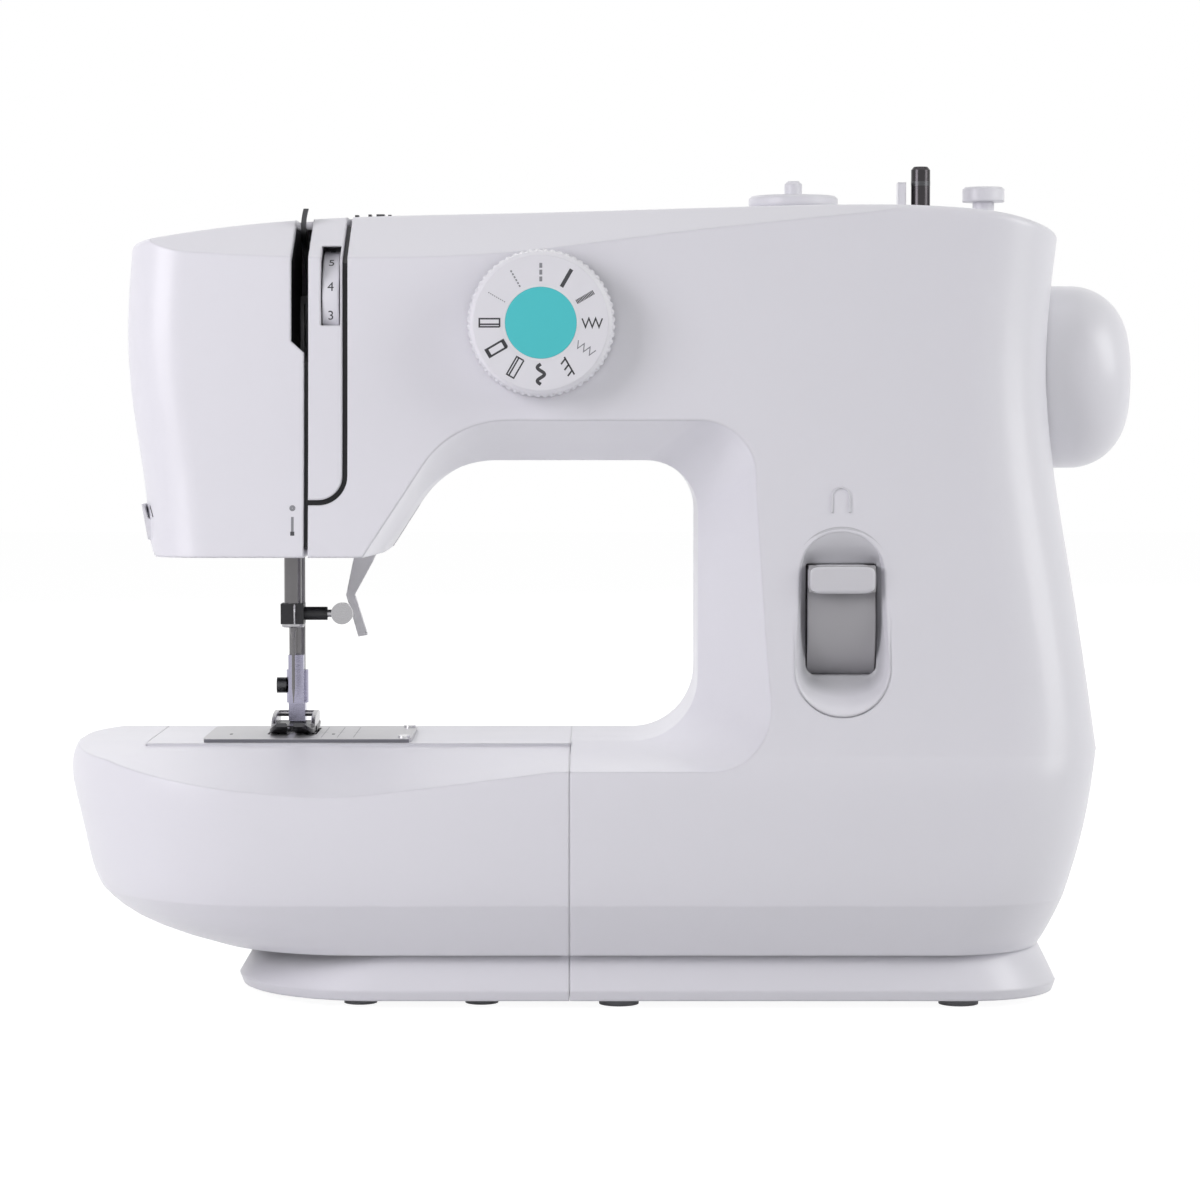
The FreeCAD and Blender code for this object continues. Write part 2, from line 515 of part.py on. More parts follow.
seat_hole = rod("spool_pin_radius + 2.4", "40", ("spool_x", "spool_y", "arm_top_z - 20"))
winder_hole = block(("winder_x - winder_radius - 1.8", "winder_y - winder_radius - 1", "arm_top_z - 20"),
                    ("winder_x + winder_radius + 4", "winder_y + winder_radius + 1.5", "arm_top_z + 20"))
stop_hole = rod("2.2", "40", ("stop_x", "stop_y", "arm_top_z - 20"))
peg_hole = rod("0.8", "40", ("peg_x", "peg_y", "arm_top_z - 20"))
guide_hole = block(("-guide_slot_x + 1", "6", "arm_top_z - 20"), ("-guide_slot_x + 7", "10", "arm_top_z + 20"))

slot_left, slot_low, toe_right = -dim("slot_left_x"), dim("slot_low_z"), face_seam + 1.0
slot_toe = shaped(prism_y([(slot_left, slot_low + 1.0, 0), (slot_left, slot_low, 0), (face_seam, slot_low - dim("slot_toe"), 0),
                           (toe_right, slot_low - dim("slot_toe"), 0), (toe_right, slot_low + 1.0, 0)], -FAR, -dim("slot_back_y")))
subpart(cut(face_form, wide_slot, slot_toe, head_hatch, lamp_hole, cutter_hole), "face_cover")
subpart(cut(front_form, seam_slot, guide_slot, guide_run, guide_turn, dial_window, head_hatch, dial_hole, lever_window,
            shaft_hole, passage, bridge_slot, switch_hole), "front_cover")
winder_tab = block(("winder_x - winder_radius - 4.3", "winder_y - 3", "arm_top_z - 6"),
                   ("winder_x - winder_radius - 1.8", "winder_y + 3", "arm_top_z + 10"))
subpart(cut(rear_form, head_hatch, shaft_hole, passage, bridge_slot, inlet_hole, lifter_hole, seat_hole,
            winder_hole, winder_tab, stop_hole, guide_hole, peg_hole), "rear_cover")

# The dark strip behind the thread slot follows the inside of the front cover.

strip_near = tower_form(wall + 0.2).cut([top_form(wall + 0.2), shoulder_form(wall + 0.2)])
strip_far = tower_form(wall + 1.2).cut([top_form(wall + 1.2), shoulder_form(wall + 1.2)])
strip_zone = box_between((face_seam - 1.7, -FAR, dim("guide_slot_low_z") - 6.0),
                         (-dim("guide_slot_x") + 5.0, -dim("slot_back_y") - 2.0, FAR))
strip_tail = box_between((face_seam - 1.7, -FAR, dim("head_bottom_z") + wall + 0.5),
                         (-dim("face_seam_x") + 1.7, -dim("slot_back_y") - 2.0, dim("guide_slot_low_z")))
channel_low = slot_low - dim("slot_toe") - 4.0
channel_wide = box_between((slot_left - 1.0, -FAR, channel_low), (-dim("face_seam_x") + 1.0, -9.0, FAR))
channel_open = box_between((slot_left, -FAR, channel_low + 1.0), (-dim("face_seam_x"), 0.0, FAR))
link_room = box_between((-FAR, -17.0, -FAR), (FAR, FAR, 214.0))
strip = strip_near.cut(strip_far).common(strip_zone.fuse(strip_tail)).fuse(strip_near.common(channel_wide).cut(link_room))
strip_form = shaped(strip.cut(channel_open))
subpart(cut(strip_form, strip_window), "slot_liner")

# The tray slips over the free arm from the left. It is hollow and open at the back.

tray_zone = box_between((-FAR, -FAR, -FAR), (tray_seam - gap, arm_back, FAR))
arm_space = box_between((arm_left - gap, arm_front - gap, -FAR), (FAR, FAR, FAR))
tray_inside = box_between((-FAR, -FAR, dim("foot_height") + dim("pan_thickness")), (tray_seam - gap - wall, arm_back, FAR))
tray_form = outer_hull.common(tray_zone).cut(arm_space)
shaped(tray_form.cut(inner_hull.common(tray_inside)), "accessory_tray")

# The free arm: a slim box shell that carries the bed under the needle.

arm_low, bed = dim("free_arm_low_z"), dim("bed_z")
arm_corner = dim("free_arm_corner")


def arm_box(inset, x_low, x_high):
    corners = [(arm_front + inset, arm_low + inset, arm_corner - inset), (arm_back - inset, arm_low + inset, arm_corner - inset),
               (arm_back - inset, bed - inset, 0), (arm_front + inset, bed - inset, 0)]
    form = Part.Face(corner_wire(corners, lambda u, v: (x_low, u, v))).extrude(Vector(x_high - x_low, 0, 0))
    return form if form.Volume > 0 else form.reversed()


arm_form = shaped(arm_box(0.0, arm_left, tray_seam).cut(arm_box(wall, arm_left + wall, tray_seam + 1.0)))
bed_hatch = block(("-plate_left_x + 4", "-plate_half_depth + 4", "bed_z - wall - 1"),
                  ("-plate_right_x - 4", "plate_half_depth - 4", "bed_z + 1"))
door_hatch = block(("-needle_x - 20", "-free_arm_front_y - 1", "hook_z - 16"),
                   ("-needle_x + 20", "-free_arm_front_y + wall + 1", "hook_z + 20"))
door_pin_bore = rod("0.8 + running_gap", "44", ("-needle_x - 22", "-free_arm_front_y + 0.5 * wall", "hook_z - 14"), "x")
screw_bores = [rod("1.2", "20", ("-plate_right_x - 2.4", f"{side} * (plate_half_depth - 5)", "bed_z - 10")) for side in ("-1", "1")]
subpart(cut(arm_form, bed_hatch, door_hatch, door_pin_bore, *screw_bores), "free_arm")

# The base pan closes the right half from below and runs on as a low platform under the free arm.

pan_top = dim("foot_height") + dim("pan_thickness")
_, pan_hull = casing_form(wall + dim("seat_gap"))
pan_right = pan_hull.common(box_between((tray_seam + wall + dim("seat_gap"), -FAR, -FAR), (FAR, FAR, pan_top)))
platform_zone = box_between((-FAR, arm_front, -FAR), (tray_seam - dim("seat_gap"), FAR, dim("platform_top_z")))
platform_hollow = box_between((-FAR, arm_front + wall, -FAR), (tray_seam - wall, FAR, dim("platform_top_z") - wall))
platform = outer_hull.common(platform_zone).cut(inner_hull.common(platform_hollow))
pan_bridge = box_between((tray_seam - 1.0, arm_front + 4.0, dim("foot_height")), (tray_seam + wall + 1.0, arm_back, pan_top))
pan_form = shaped(platform.fuse([pan_right, pan_bridge]))
foot_boss = rod("foot_radius + 1", "platform_top_z - wall - foot_height + 0.5",
                ("-plinth_left_x + 22", "plinth_half_depth - 22", "foot_height"))
subpart(fuse(pan_form, foot_boss), "base_pan")


def hull_x(first, last, x_low, x_high):
    """The space swept by a circle that goes from one (y, z, radius) to another, carried along X."""
    (y0, z0, r0), (y1, z1, r1) = first, last
    span = math.hypot(y1 - y0, z1 - z0)
    lean, open_angle = math.atan2(z1 - z0, y1 - y0), math.acos((r0 - r1) / span)

    def spot(y, z, radius, angle):
        return Vector(x_low, y + radius * math.cos(angle), z + radius * math.sin(angle))

    near = [spot(y0, z0, r0, lean + turn) for turn in (open_angle, math.pi, -open_angle)]
    far = [spot(y1, z1, r1, lean + turn) for turn in (-open_angle, 0.0, open_angle)]
    edges = [Part.Arc(*near).toShape(), Part.LineSegment(near[2], far[0]).toShape(), Part.Arc(*far).toShape(),
             Part.LineSegment(far[2], near[0]).toShape()]
    form = Part.Face(Part.Wire(edges)).extrude(Vector(x_high - x_low, 0, 0))
    return form if form.Volume > 0 else form.reversed()


# The frame: an arm beam and a bed beam joined by a post, with bearing blocks and brackets cast on.

frame_solid = fuse(
    block(("-needle_x - 12.5", "beam_y", "head_bottom_z + 5"), ("-lifter_pivot_x - 4", "beam_y + beam_thickness", "beam_top_z + 7")),
    block(("-lifter_pivot_x - 5", "beam_y", "lifter_pivot_z - 3"), ("-lifter_pivot_x + 7", "beam_y + beam_thickness", "beam_top_z + 7")),
    block(("-lifter_pivot_x + 5", "beam_y", "beam_low_z"), ("belt_wheel_x - 1", "beam_y + beam_thickness", "beam_top_z")),
    block(("-shaft_left_x + 5", "-12", "shaft_z - 13"), ("-shaft_left_x + 17", "beam_y", "shaft_z + 15")),
    block(("-shaft_left_x + 5", "take_up_pivot_y - 6", "shaft_z + 10"), ("-shaft_left_x + 17", "beam_y", "take_up_pivot_z + 6")),
    block(("-shaft_left_x + 5", "-tension_y - 7", "tension_z - 10"), ("-shaft_left_x + 13", "0", "tension_z + 7")),
    block(("throat_right_x", "-12", "shaft_z - 13"), ("throat_right_x + 12", "beam_y", "shaft_z + 15")),
    block(("belt_wheel_x - 8", "-12", "shaft_z - 13"), ("belt_wheel_x - 2", "beam_y", "shaft_z + 15")),
    block(("post_x", "beam_y", "foot_height + pan_thickness"), ("post_x + post_width", "beam_y + beam_thickness", "beam_top_z")),
    block(("post_x - 38", "-40", "foot_height + pan_thickness"), ("post_x + 68", "40", "foot_height + pan_thickness + 3")),
    block(("-needle_x - 14.5", "beam_y", "bed_beam_low_z"), ("belt_wheel_x", "beam_y + beam_thickness", "bed_beam_top_z")),
    block(("post_x + 20", "-8", "low_shaft_z - 10"), ("post_x + post_width", "beam_y", "low_shaft_z + 10")),
    block(("-low_shaft_left_x + 2", "-8", "low_shaft_z - 10"), ("-low_shaft_left_x + 12", "beam_y", "low_shaft_z + 10")),
    block(("-low_shaft_left_x - 18", "beam_y", "bed_beam_top_z - 1"), ("-low_shaft_left_x - 2", "beam_y + beam_thickness", "bed_z - 5")),
    block(("-needle_x - 6", "presser_y - 6", "head_bottom_z + 5"), ("-needle_x + 6", "beam_y", "head_bottom_z + 12")),
    block(("-needle_x - 6", "presser_y - 6", "presser_top_z - 11"), ("-needle_x + 6", "beam_y", "presser_top_z - 5")),
    block(("-dial_x - 6.5", "-13", "beam_top_z - 0.5"), ("-dial_x + 5.5", "beam_y + beam_thickness", "beam_top_z + 4")),
    block(("-dial_x - 8.5", "-13", "dial_z - 9"), ("-dial_x + 8.5", "-10", "beam_top_z + 4")),
    block(("post_x", "-lever_y - 5", "lever_z - 6"), ("post_x + 3", "beam_y", "lever_z + 6")),
    block(("post_x + 25.5", "-lever_y - 5", "lever_z - 6"), ("post_x + 28.5", "beam_y", "lever_z + 6")),
    block(("motor_right_x - 48", "-motor_y - 10", "foot_height + pan_thickness + 2"),
          ("motor_right_x - 12", "-motor_y + 10", "motor_z - 0.8 * motor_radius")),
    rod("winder_radius", "20", ("winder_x", "beam_y + 6", "beam_top_z - 0.5")),
    rod("2.5", "lifter_width + 4.5", ("-lifter_pivot_x", "beam_y + beam_thickness - 2", "lifter_pivot_z"), "y"))
frame_bores = [
    rod("shaft_radius + running_gap", "240", ("-shaft_left_x - 5", "0", "shaft_z"), "x"),
    rod("low_shaft_radius + running_gap", "180", ("-low_shaft_left_x - 2", "0", "low_shaft_z"), "x"),
    rod("presser_radius + running_gap", "90", ("-needle_x", "presser_y", "head_bottom_z")),
    rod("2 + running_gap", "20", ("-needle_x", "beam_y - 5", "beam_top_z"), "y"),
    rod("take_up_pin_radius", "30", ("-shaft_left_x", "take_up_pivot_y", "take_up_pivot_z"), "x"),
    rod("tension_post_radius", "30", ("-shaft_left_x", "-tension_y", "tension_z"), "x"),
    rod("2.5", "20", ("-low_shaft_left_x - 10", "beam_y - 5", "bed_z - 9"), "y"),
    rod("dial_shaft_radius + running_gap", "20", ("-dial_x", "-20", "dial_z"), "y"),
    rod("motor_radius", "motor_length", ("motor_right_x - motor_length", "-motor_y", "motor_z"), "x"),
    rod("2.5", "40", ("post_x - 5", "-lever_y", "lever_z"), "x"),
    block(("-needle_x - 5.5", "beam_y - 1", "bracket_z - 2"), ("-needle_x + 5.5", "beam_y + beam_thickness + 1", "bracket_z + 13"))]
subpart(cut(frame_solid, *frame_bores), "main_frame")

# Steel pins pressed into the frame: take-up pivot, tension post, feed guide and reverse lever pivot.

subpart(group(
    rod("take_up_pin_radius", "take_up_x - shaft_left_x + 18", ("-take_up_x - 2", "take_up_pivot_y", "take_up_pivot_z"), "x"),
    rod("tension_post_radius", "tension_x - shaft_left_x + 16", ("-tension_x - 4", "-tension_y", "tension_z"), "x"),
    rod("2.5", "30", ("-low_shaft_left_x - 10", "-4", "bed_z - 9"), "y"),
    rod("2.5", "28.5", ("post_x", "-lever_y", "lever_z"), "x")), "frame_pins")

# Upper shaft with its wheels and crank.

hand_x = "waist_right_x - pocket_depth + handwheel_gap"
subpart(rod("shaft_radius", f"shaft_left_x + {hand_x} + handwheel_width - 6", ("-shaft_left_x", "0", "shaft_z"), "x"), "main_shaft")
wheel = turned("handwheel", [("shaft_radius", "0"), ("handwheel_radius - 1.5", "0"), ("handwheel_radius", "1.5"),
                             ("handwheel_radius", "handwheel_width"), ("0", "handwheel_width"), ("0", "handwheel_width - 6"),
                             ("shaft_radius", "handwheel_width - 6")], (hand_x, "0", "shaft_z"), "x")
doc.recompute()
rim = [i for i, e in enumerate(wheel.Tip.Shape.Edges, start=1)
       if abs(e.BoundBox.XLength - 2 * dim("handwheel_radius")) < 0.01 and e.BoundBox.ZMin > dim("handwheel_width") - 0.01]
rounding = wheel.newObject("PartDesign::Fillet", "handwheel_rim")
rounding.Base = (wheel.Group[1], [f"Edge{rim[0]}"])
bind(rounding, "Radius", "handwheel_round")
subpart(wheel, "handwheel")
subpart(group(ring("belt_wheel_radius", "shaft_radius", "belt_wheel_width", ("belt_wheel_x", "0", "shaft_z"), "x"),
              ring("timing_radius", "shaft_radius", "timing_width", ("timing_x", "0", "shaft_z"), "x")), "drive_wheels")
subpart(fuse(rod("crank_radius", "crank_width", ("-shaft_left_x - crank_width", "0", "shaft_z"), "x"),
             rod("crank_pin_radius", "4", ("-shaft_left_x - crank_width - 3.5", "0", "shaft_z + crank_throw"), "x")), "crank_disc")

# Lower shaft, motor and belts.

subpart(fuse(rod("low_shaft_radius", "low_shaft_left_x + timing_x + timing_width + 3", ("-low_shaft_left_x", "0", "low_shaft_z"), "x"),
             rod("9", "5", ("-low_shaft_left_x + 18", "1.5", "low_shaft_z"), "x"),
             rod("11", "5", ("-low_shaft_left_x - 4.5", "0", "low_shaft_z"), "x"),
             rod("2", "5", ("-low_shaft_left_x - 9", "0", "low_shaft_z + 7"), "x")), "lower_shaft")
subpart(ring("timing_radius", "low_shaft_radius", "timing_width", ("timing_x", "0", "low_shaft_z"), "x"), "lower_pulley")
motor_left = "motor_right_x - motor_length"
subpart(turned("motor", [("motor_shaft_radius + running_gap", "-4"), ("7", "-4"), ("7", "0"), ("motor_radius", "0"),
                         ("motor_radius", "motor_length"), ("7", "motor_length"), ("7", "motor_length + 4"),
                         ("motor_shaft_radius + running_gap", "motor_length + 4")],
               (motor_left, "-motor_y", "motor_z"), "x"), "motor")
subpart(fuse(rod("motor_shaft_radius", "motor_length + belt_wheel_x + belt_wheel_width - motor_right_x + 10",
                 (f"{motor_left} - 8", "-motor_y", "motor_z"), "x"),
             rod("motor_wheel_radius", "belt_wheel_width", ("belt_wheel_x", "-motor_y", "motor_z"), "x")), "motor_shaft")


def belt(label, first, last, x_low, x_high):
    """A closed belt round two wheels given as (y, z, radius)."""
    inner = dim("belt_gap")
    outer = inner + dim("belt_thickness")
    loops = [hull_x((*first[:2], first[2] + grow), (*last[:2], last[2] + grow), x_low, x_high) for grow in (outer, inner)]
    return shaped(loops[0].cut(loops[1]), label)


belt("drive_belt", (0.0, dim("shaft_z"), dim("belt_wheel_radius")), (-dim("motor_y"), dim("motor_z"), dim("motor_wheel_radius")),
     dim("belt_wheel_x") + 1.0, dim("belt_wheel_x") + dim("belt_wheel_width") - 1.0)
belt("timing_belt", (0.0, dim("shaft_z"), dim("timing_radius")), (0.0, dim("low_shaft_z"), dim("timing_radius")),
     dim("timing_x") + 0.5, dim("timing_x") + dim("timing_width") - 0.5)

# Needle bar, its swinging carrier, and the needle.

subpart(cut(fuse(block(("-needle_x - 3.5", "needle_bar_radius + 1.25", "head_bottom_z + 0.5"),
                       ("-needle_x + 3.5", "needle_bar_radius + 5.25", "beam_top_z + 4")),
                 rod("6", "7", ("-needle_x", "0", "shaft_z - 4")),
                 rod("6", "4.5", ("-needle_x", "0", "head_bottom_z + 0.5")),
                 rod("2", "beam_y - needle_bar_radius - 1", ("-needle_x", "needle_bar_radius + 5", "beam_top_z"), "y")),
            rod("needle_bar_radius + running_gap", "120", ("-needle_x", "0", "head_bottom_z - 5"))), "needle_bar_frame")
subpart(fuse(rod("needle_bar_radius", "needle_bar_top_z - needle_bar_low_z", ("-needle_x", "0", "needle_bar_low_z")),
             rod("stud_radius", "needle_x - shaft_left_x - crank_width - 4", ("-needle_x", "0", "stud_z"), "x")), "needle_bar")
subpart(fuse(rod("needle_radius", "needle_bar_low_z - needle_point_z - blade_length - 2",
                 ("-needle_x", "0", "needle_point_z + blade_length + 2")),
             cone("blade_radius", "needle_radius", "2", ("-needle_x", "0", "needle_point_z + blade_length")),
             rod("blade_radius", "blade_length - 5", ("-needle_x", "0", "needle_point_z + 5")),
             cone("0.12", "blade_radius", "5", ("-needle_x", "0", "needle_point_z"))), "needle")
subpart(cut(fuse(block(("-needle_x - 0.5 * clamp_width", "-4", "clamp_z - 0.5 * clamp_height"),
                       ("-needle_x + 0.5 * clamp_width", "4", "clamp_z + 0.5 * clamp_height")),
                 rod("2.1", "7.7", ("-needle_x + 0.5 * clamp_width - 0.5", "0", "clamp_z"), "x")),
            rod("needle_bar_radius", "20", ("-needle_x", "0", "needle_bar_low_z")),
            rod("1.2 + running_gap", "8", ("-needle_x + 0.5 * clamp_width - 0.1", "0", "clamp_z"), "x"),
            rod("needle_radius", "10", ("-needle_x", "0", "needle_bar_low_z - 9"))), "needle_clamp")
screw_start = "-needle_x + 0.5 * clamp_width + 1"
subpart(fuse(rod("1.2", "8", (screw_start, "0", "clamp_z"), "x"),
             rod("3.4", "2.8", (f"{screw_start} + 10.8", "-1.4", "clamp_z"), "y")), "clamp_screw")
link_x = -dim("shaft_left_x") - dim("crank_width") - 7.5
link_form = shaped(hull_x((0.0, dim("stud_z"), 5.0), (0.0, dim("shaft_z") + dim("crank_throw"), 4.0), link_x, link_x + 3.7))
subpart(cut(link_form, rod("stud_radius + running_gap", "20", ("-needle_x + 5", "0", "stud_z"), "x")), "needle_bar_link")

# Take-up lever and thread tension.

lever_low, lever_high = -dim("take_up_x") - 0.5 * dim("take_up_thickness"), -dim("take_up_x") + 0.5 * dim("take_up_thickness")
lever_form = shaped(hull_x((dim("take_up_pivot_y"), dim("take_up_pivot_z"), 4.5), (-dim("take_up_tip_y"), dim("take_up_tip_z"), 2.2),
                           lever_low, lever_high))
subpart(cut(lever_form, rod("take_up_pin_radius + running_gap", "10", ("-take_up_x - 5", "take_up_pivot_y", "take_up_pivot_z"), "x"),
            rod("1", "10", ("-take_up_x - 5", "-take_up_tip_y", "take_up_tip_z"), "x")), "take_up_lever")
subpart(ring("tension_radius", "tension_post_radius + running_gap", "tension_width",
             ("-tension_x - 0.5 * tension_width", "-tension_y", "tension_z"), "x"), "tension_dial")
disc_x = "-tension_x + 0.5 * tension_width + 0.4"
subpart(group(ring("disc_radius", "tension_post_radius", "disc_thickness", (disc_x, "-tension_y", "tension_z"), "x"),
              ring("disc_radius", "tension_post_radius", "disc_thickness", (f"{disc_x} + disc_thickness + 0.3", "-tension_y", "tension_z"), "x")),
        "tension_discs")

# Presser bar, its spring, the foot and the lifter.

subpart(rod("presser_radius", "presser_top_z - presser_low_z", ("-needle_x", "presser_y", "presser_low_z")), "presser_bar")
finger_y = "beam_y + beam_thickness + 0.8"
subpart(cut(fuse(block(("-needle_x - 5", "presser_y - 6", "bracket_z"), ("-needle_x + 5", f"{finger_y} + 3.7", "bracket_z + 5")),
                 block(("-needle_x - 5", finger_y, "bracket_z"), ("-lifter_pivot_x + 0.5", f"{finger_y} + 3.7", "bracket_z + 5"))),
            rod("presser_radius", "20", ("-needle_x", "presser_y", "bracket_z - 5"))), "presser_bracket")
wire_radius, coil_radius = dim("spring_wire"), dim("spring_radius")
coil_low = dim("bracket_z") + 5.0 + 1.2 * wire_radius
coil_high = dim("presser_top_z") - 11.0 - 1.2 * wire_radius
coil = Part.makeHelix((coil_high - coil_low) / 8.0, coil_high - coil_low, coil_radius)
section = Part.Wire(Part.Circle(Vector(coil_radius, 0, 0), Vector(0, 1, 0), wire_radius).toShape())
spring = Part.Wire(coil).makePipeShell([section], True, True)
spring.translate(Vector(-dim("needle_x"), dim("presser_y"), coil_low))
shaped(spring, "presser_spring")
plate_top = "bed_z + plate_thickness"
sole_top = f"{plate_top} + foot_clearance + foot_plate"
pin_z = f"{sole_top} + 2.9"
subpart(cut(fuse(rod("presser_radius + 0.9", "10.5", ("-needle_x", "presser_y", "presser_low_z - 0.5")),
                 block(("-needle_x - 2.4", "presser_y - 6", "presser_low_z - 0.5"), ("-needle_x + 2.4", "presser_y - 1.5", "presser_low_z + 15")),
                 block(("-needle_x - 2.6", "presser_y - 3", f"{sole_top} + 0.6"), ("-needle_x + 2.6", "presser_y + 3", "presser_low_z"))),
            rod("presser_radius", "20", ("-needle_x", "presser_y", "presser_low_z")),
            rod("1 + running_gap", "20", ("-needle_x - 10", "presser_y", pin_z), "x"),
            rod("1.3", "6", ("-needle_x - 5", "presser_y", "presser_low_z + 5"), "x")), "foot_holder")
subpart(fuse(rod("2.5", "3", ("-needle_x - presser_radius - 3.9", "presser_y", "presser_low_z + 5"), "x"),
             rod("1.3", "0.9", ("-needle_x - presser_radius - 0.9", "presser_y", "presser_low_z + 5"), "x")), "foot_screw")
subpart(cut(fuse(block(("-needle_x - 0.5 * foot_width", "-0.5 * foot_length", f"{plate_top} + foot_clearance"),
                       ("-needle_x + 0.5 * foot_width", "0.63 * foot_length", sole_top)),
                 block(("-needle_x - 6", "presser_y - 2.5", f"{sole_top} - 0.2"), ("-needle_x - 3", "presser_y + 2.5", f"{pin_z} + 2")),
                 block(("-needle_x + 3", "presser_y - 2.5", f"{sole_top} - 0.2"), ("-needle_x + 6", "presser_y + 2.5", f"{pin_z} + 2")),
                 rod("1", "12", ("-needle_x - 6", "presser_y", pin_z), "x")),
            block(("-needle_x - 3.6", "-2", f"{plate_top} - 1"), ("-needle_x + 3.6", "2", f"{pin_z} + 9")),
            block(("-needle_x - 1", "-foot_length", f"{plate_top} - 1"), ("-needle_x + 1", "0", f"{sole_top} + 1"))), "presser_foot")
pivot_x, pivot_z = -dim("lifter_pivot_x"), dim("lifter_pivot_z")
lifter_low, lifter_high = dim("lifter_y") + 0.4, dim("lifter_y") + 0.4 + dim("lifter_width")
handle = [(-4.5, 1.0), (4.5, -2.0), (-3.4, -20.0), (-9.4, -31.0), (-5.3, -44.0), (-8.2, -44.5), (-12.1, -31.0), (-9.8, -20.0)]
lobe = [(0.0, -4.0)] + [((5.6 + 0.1 * turn) * math.sin(math.radians(turn)), (5.6 + 0.1 * turn) * math.cos(math.radians(turn)))
                        for turn in range(50, -1, -5)]
lifter_form = prism_y([(pivot_x + u, pivot_z + v, 0) for u, v in handle], lifter_low, lifter_high)
lifter_form = lifter_form.fuse([prism_y([(pivot_x + u, pivot_z + v, 0) for u, v in lobe], lifter_low, lifter_high),
                                Part.makeCylinder(5.7, dim("lifter_width"), Vector(pivot_x, lifter_low, pivot_z), Vector(0, 1, 0))])
lifter_form = shaped(lifter_form)
subpart(cut(lifter_form, rod("2.5 + running_gap", "20", ("-lifter_pivot_x", "lifter_y - 5", "lifter_pivot_z"), "y")), "presser_lifter")

# Hook, bobbin and feed under the needle plate.

subpart(turned("hook_race", [("hook_radius + running_gap", "0"), ("hook_radius + race_wall", "0"),
                             ("hook_radius + race_wall", "race_depth + 2.5"), ("6.4", "race_depth + 2.5"), ("6.4", "race_front_y + beam_y"),
                             ("hook_shaft_radius + running_gap", "race_front_y + beam_y"), ("hook_shaft_radius + running_gap", "race_depth"),
                             ("hook_radius + running_gap", "race_depth")], ("-needle_x", "-race_front_y", "hook_z"), "y"), "hook_race")
case_radius = "hook_radius - 3.6"
subpart(turned("shuttle_hook", [(f"{case_radius} + 0.2", "0"), ("hook_radius", "0"), ("hook_radius", "race_depth - 0.8"),
                                ("hook_shaft_radius", "race_depth - 0.8"), ("hook_shaft_radius", "race_front_y + beam_y - 1"),
                                ("0", "race_front_y + beam_y - 1"), ("0", "bobbin_width + 1.4"), (f"{case_radius} + 0.2", "bobbin_width + 1.4")],
               ("-needle_x", "-race_front_y + 0.3", "hook_z"), "y"), "shuttle_hook")
subpart(turned("bobbin_case", [("0", "-case_wall"), (case_radius, "-case_wall"), (case_radius, "bobbin_width + 0.6"),
                               (f"{case_radius} - case_wall", "bobbin_width + 0.6"), (f"{case_radius} - case_wall", "0"), ("2.9", "0"),
                               ("2.9", "bobbin_width + 0.6"), ("0", "bobbin_width + 0.6")],
               ("-needle_x", "-race_front_y + 0.4", "hook_z"), "y"), "bobbin_case")
subpart(turned("bobbin", [("2.9 + running_gap", "0"), ("bobbin_radius", "0"), ("bobbin_radius", "0.8"), ("4.2", "0.8"),
                          ("4.2", "bobbin_width - 0.8"), ("bobbin_radius", "bobbin_width - 0.8"), ("bobbin_radius", "bobbin_width"),
                          ("2.9 + running_gap", "bobbin_width")], ("-needle_x", "-race_front_y + 0.6", "hook_z"), "y"), "bobbin")
hinge_y, hinge_z = "-free_arm_front_y + 0.5 * wall", "hook_z - 14"
subpart(fuse(block(("-needle_x - 19.7", "-free_arm_front_y", "hook_z - 15"), ("-needle_x + 19.7", "-free_arm_front_y + wall", "hook_z + 19.7")),
             rod("0.8", "42", ("-needle_x - 21", hinge_y, hinge_z), "x")), "bobbin_door")
subpart(cut(block(("-needle_x - 8.5", "3", "bed_z - 12"), ("-low_shaft_left_x - 4", "15", "bed_z - 6")),
            rod("2.5 + running_gap", "30", ("-low_shaft_left_x - 10", "-2", "bed_z - 9"), "y")), "feed_bar")
subpart(fuse(block(("-needle_x - 7.5", "4", "bed_z - 6"), ("-needle_x + 7.5", "13", "bed_z - 1.5")),
             block(("-needle_x - 7.1", "-4", "bed_z - 3.5"), ("-needle_x - 4.6", "13", "bed_z + 1.1")),
             block(("-needle_x + 4.6", "-4", "bed_z - 3.5"), ("-needle_x + 7.1", "13", "bed_z + 1.1"))), "feed_dog")
plate_round = dim("plate_corner")
plate_corners = [(-dim(f"plate_{side}_x"), sign * dim("plate_half_depth"), plate_round)
                 for side, sign in (("left", -1), ("right", -1), ("right", 1), ("left", 1))]
plate_face = Part.Face(corner_wire(plate_corners, lambda u, v: (u, v, dim("bed_z"))))
plate = shaped(plate_face.extrude(Vector(0, 0, dim("plate_thickness"))))
screw_x = "-plate_right_x - 2.4"
plate_cuts = [block(("-needle_x - 7.7", "-7", "bed_z - 1"), ("-needle_x - 4.1", "16", "bed_z + 5")),
              block(("-needle_x + 4.1", "-7", "bed_z - 1"), ("-needle_x + 7.7", "16", "bed_z + 5")),
              block(("-needle_x - 3.4", "-1.6", "bed_z - 1"), ("-needle_x + 3.4", "1.6", "bed_z + 5"))]
plate_cuts += [rod("1.2", "20", (screw_x, f"{side} * (plate_half_depth - 5)", "bed_z - 10")) for side in ("-1", "1")]
subpart(cut(plate, *plate_cuts), "needle_plate")
subpart(group(*[fuse(rod("1.9", "0.7", (screw_x, f"{side} * (plate_half_depth - 5)", plate_top)),
                     rod("1.2", "5", (screw_x, f"{side} * (plate_half_depth - 5)", f"{plate_top} - 4.8"))) for side in ("-1", "1")]),
        "plate_screws")

# Pattern dial with its cam.

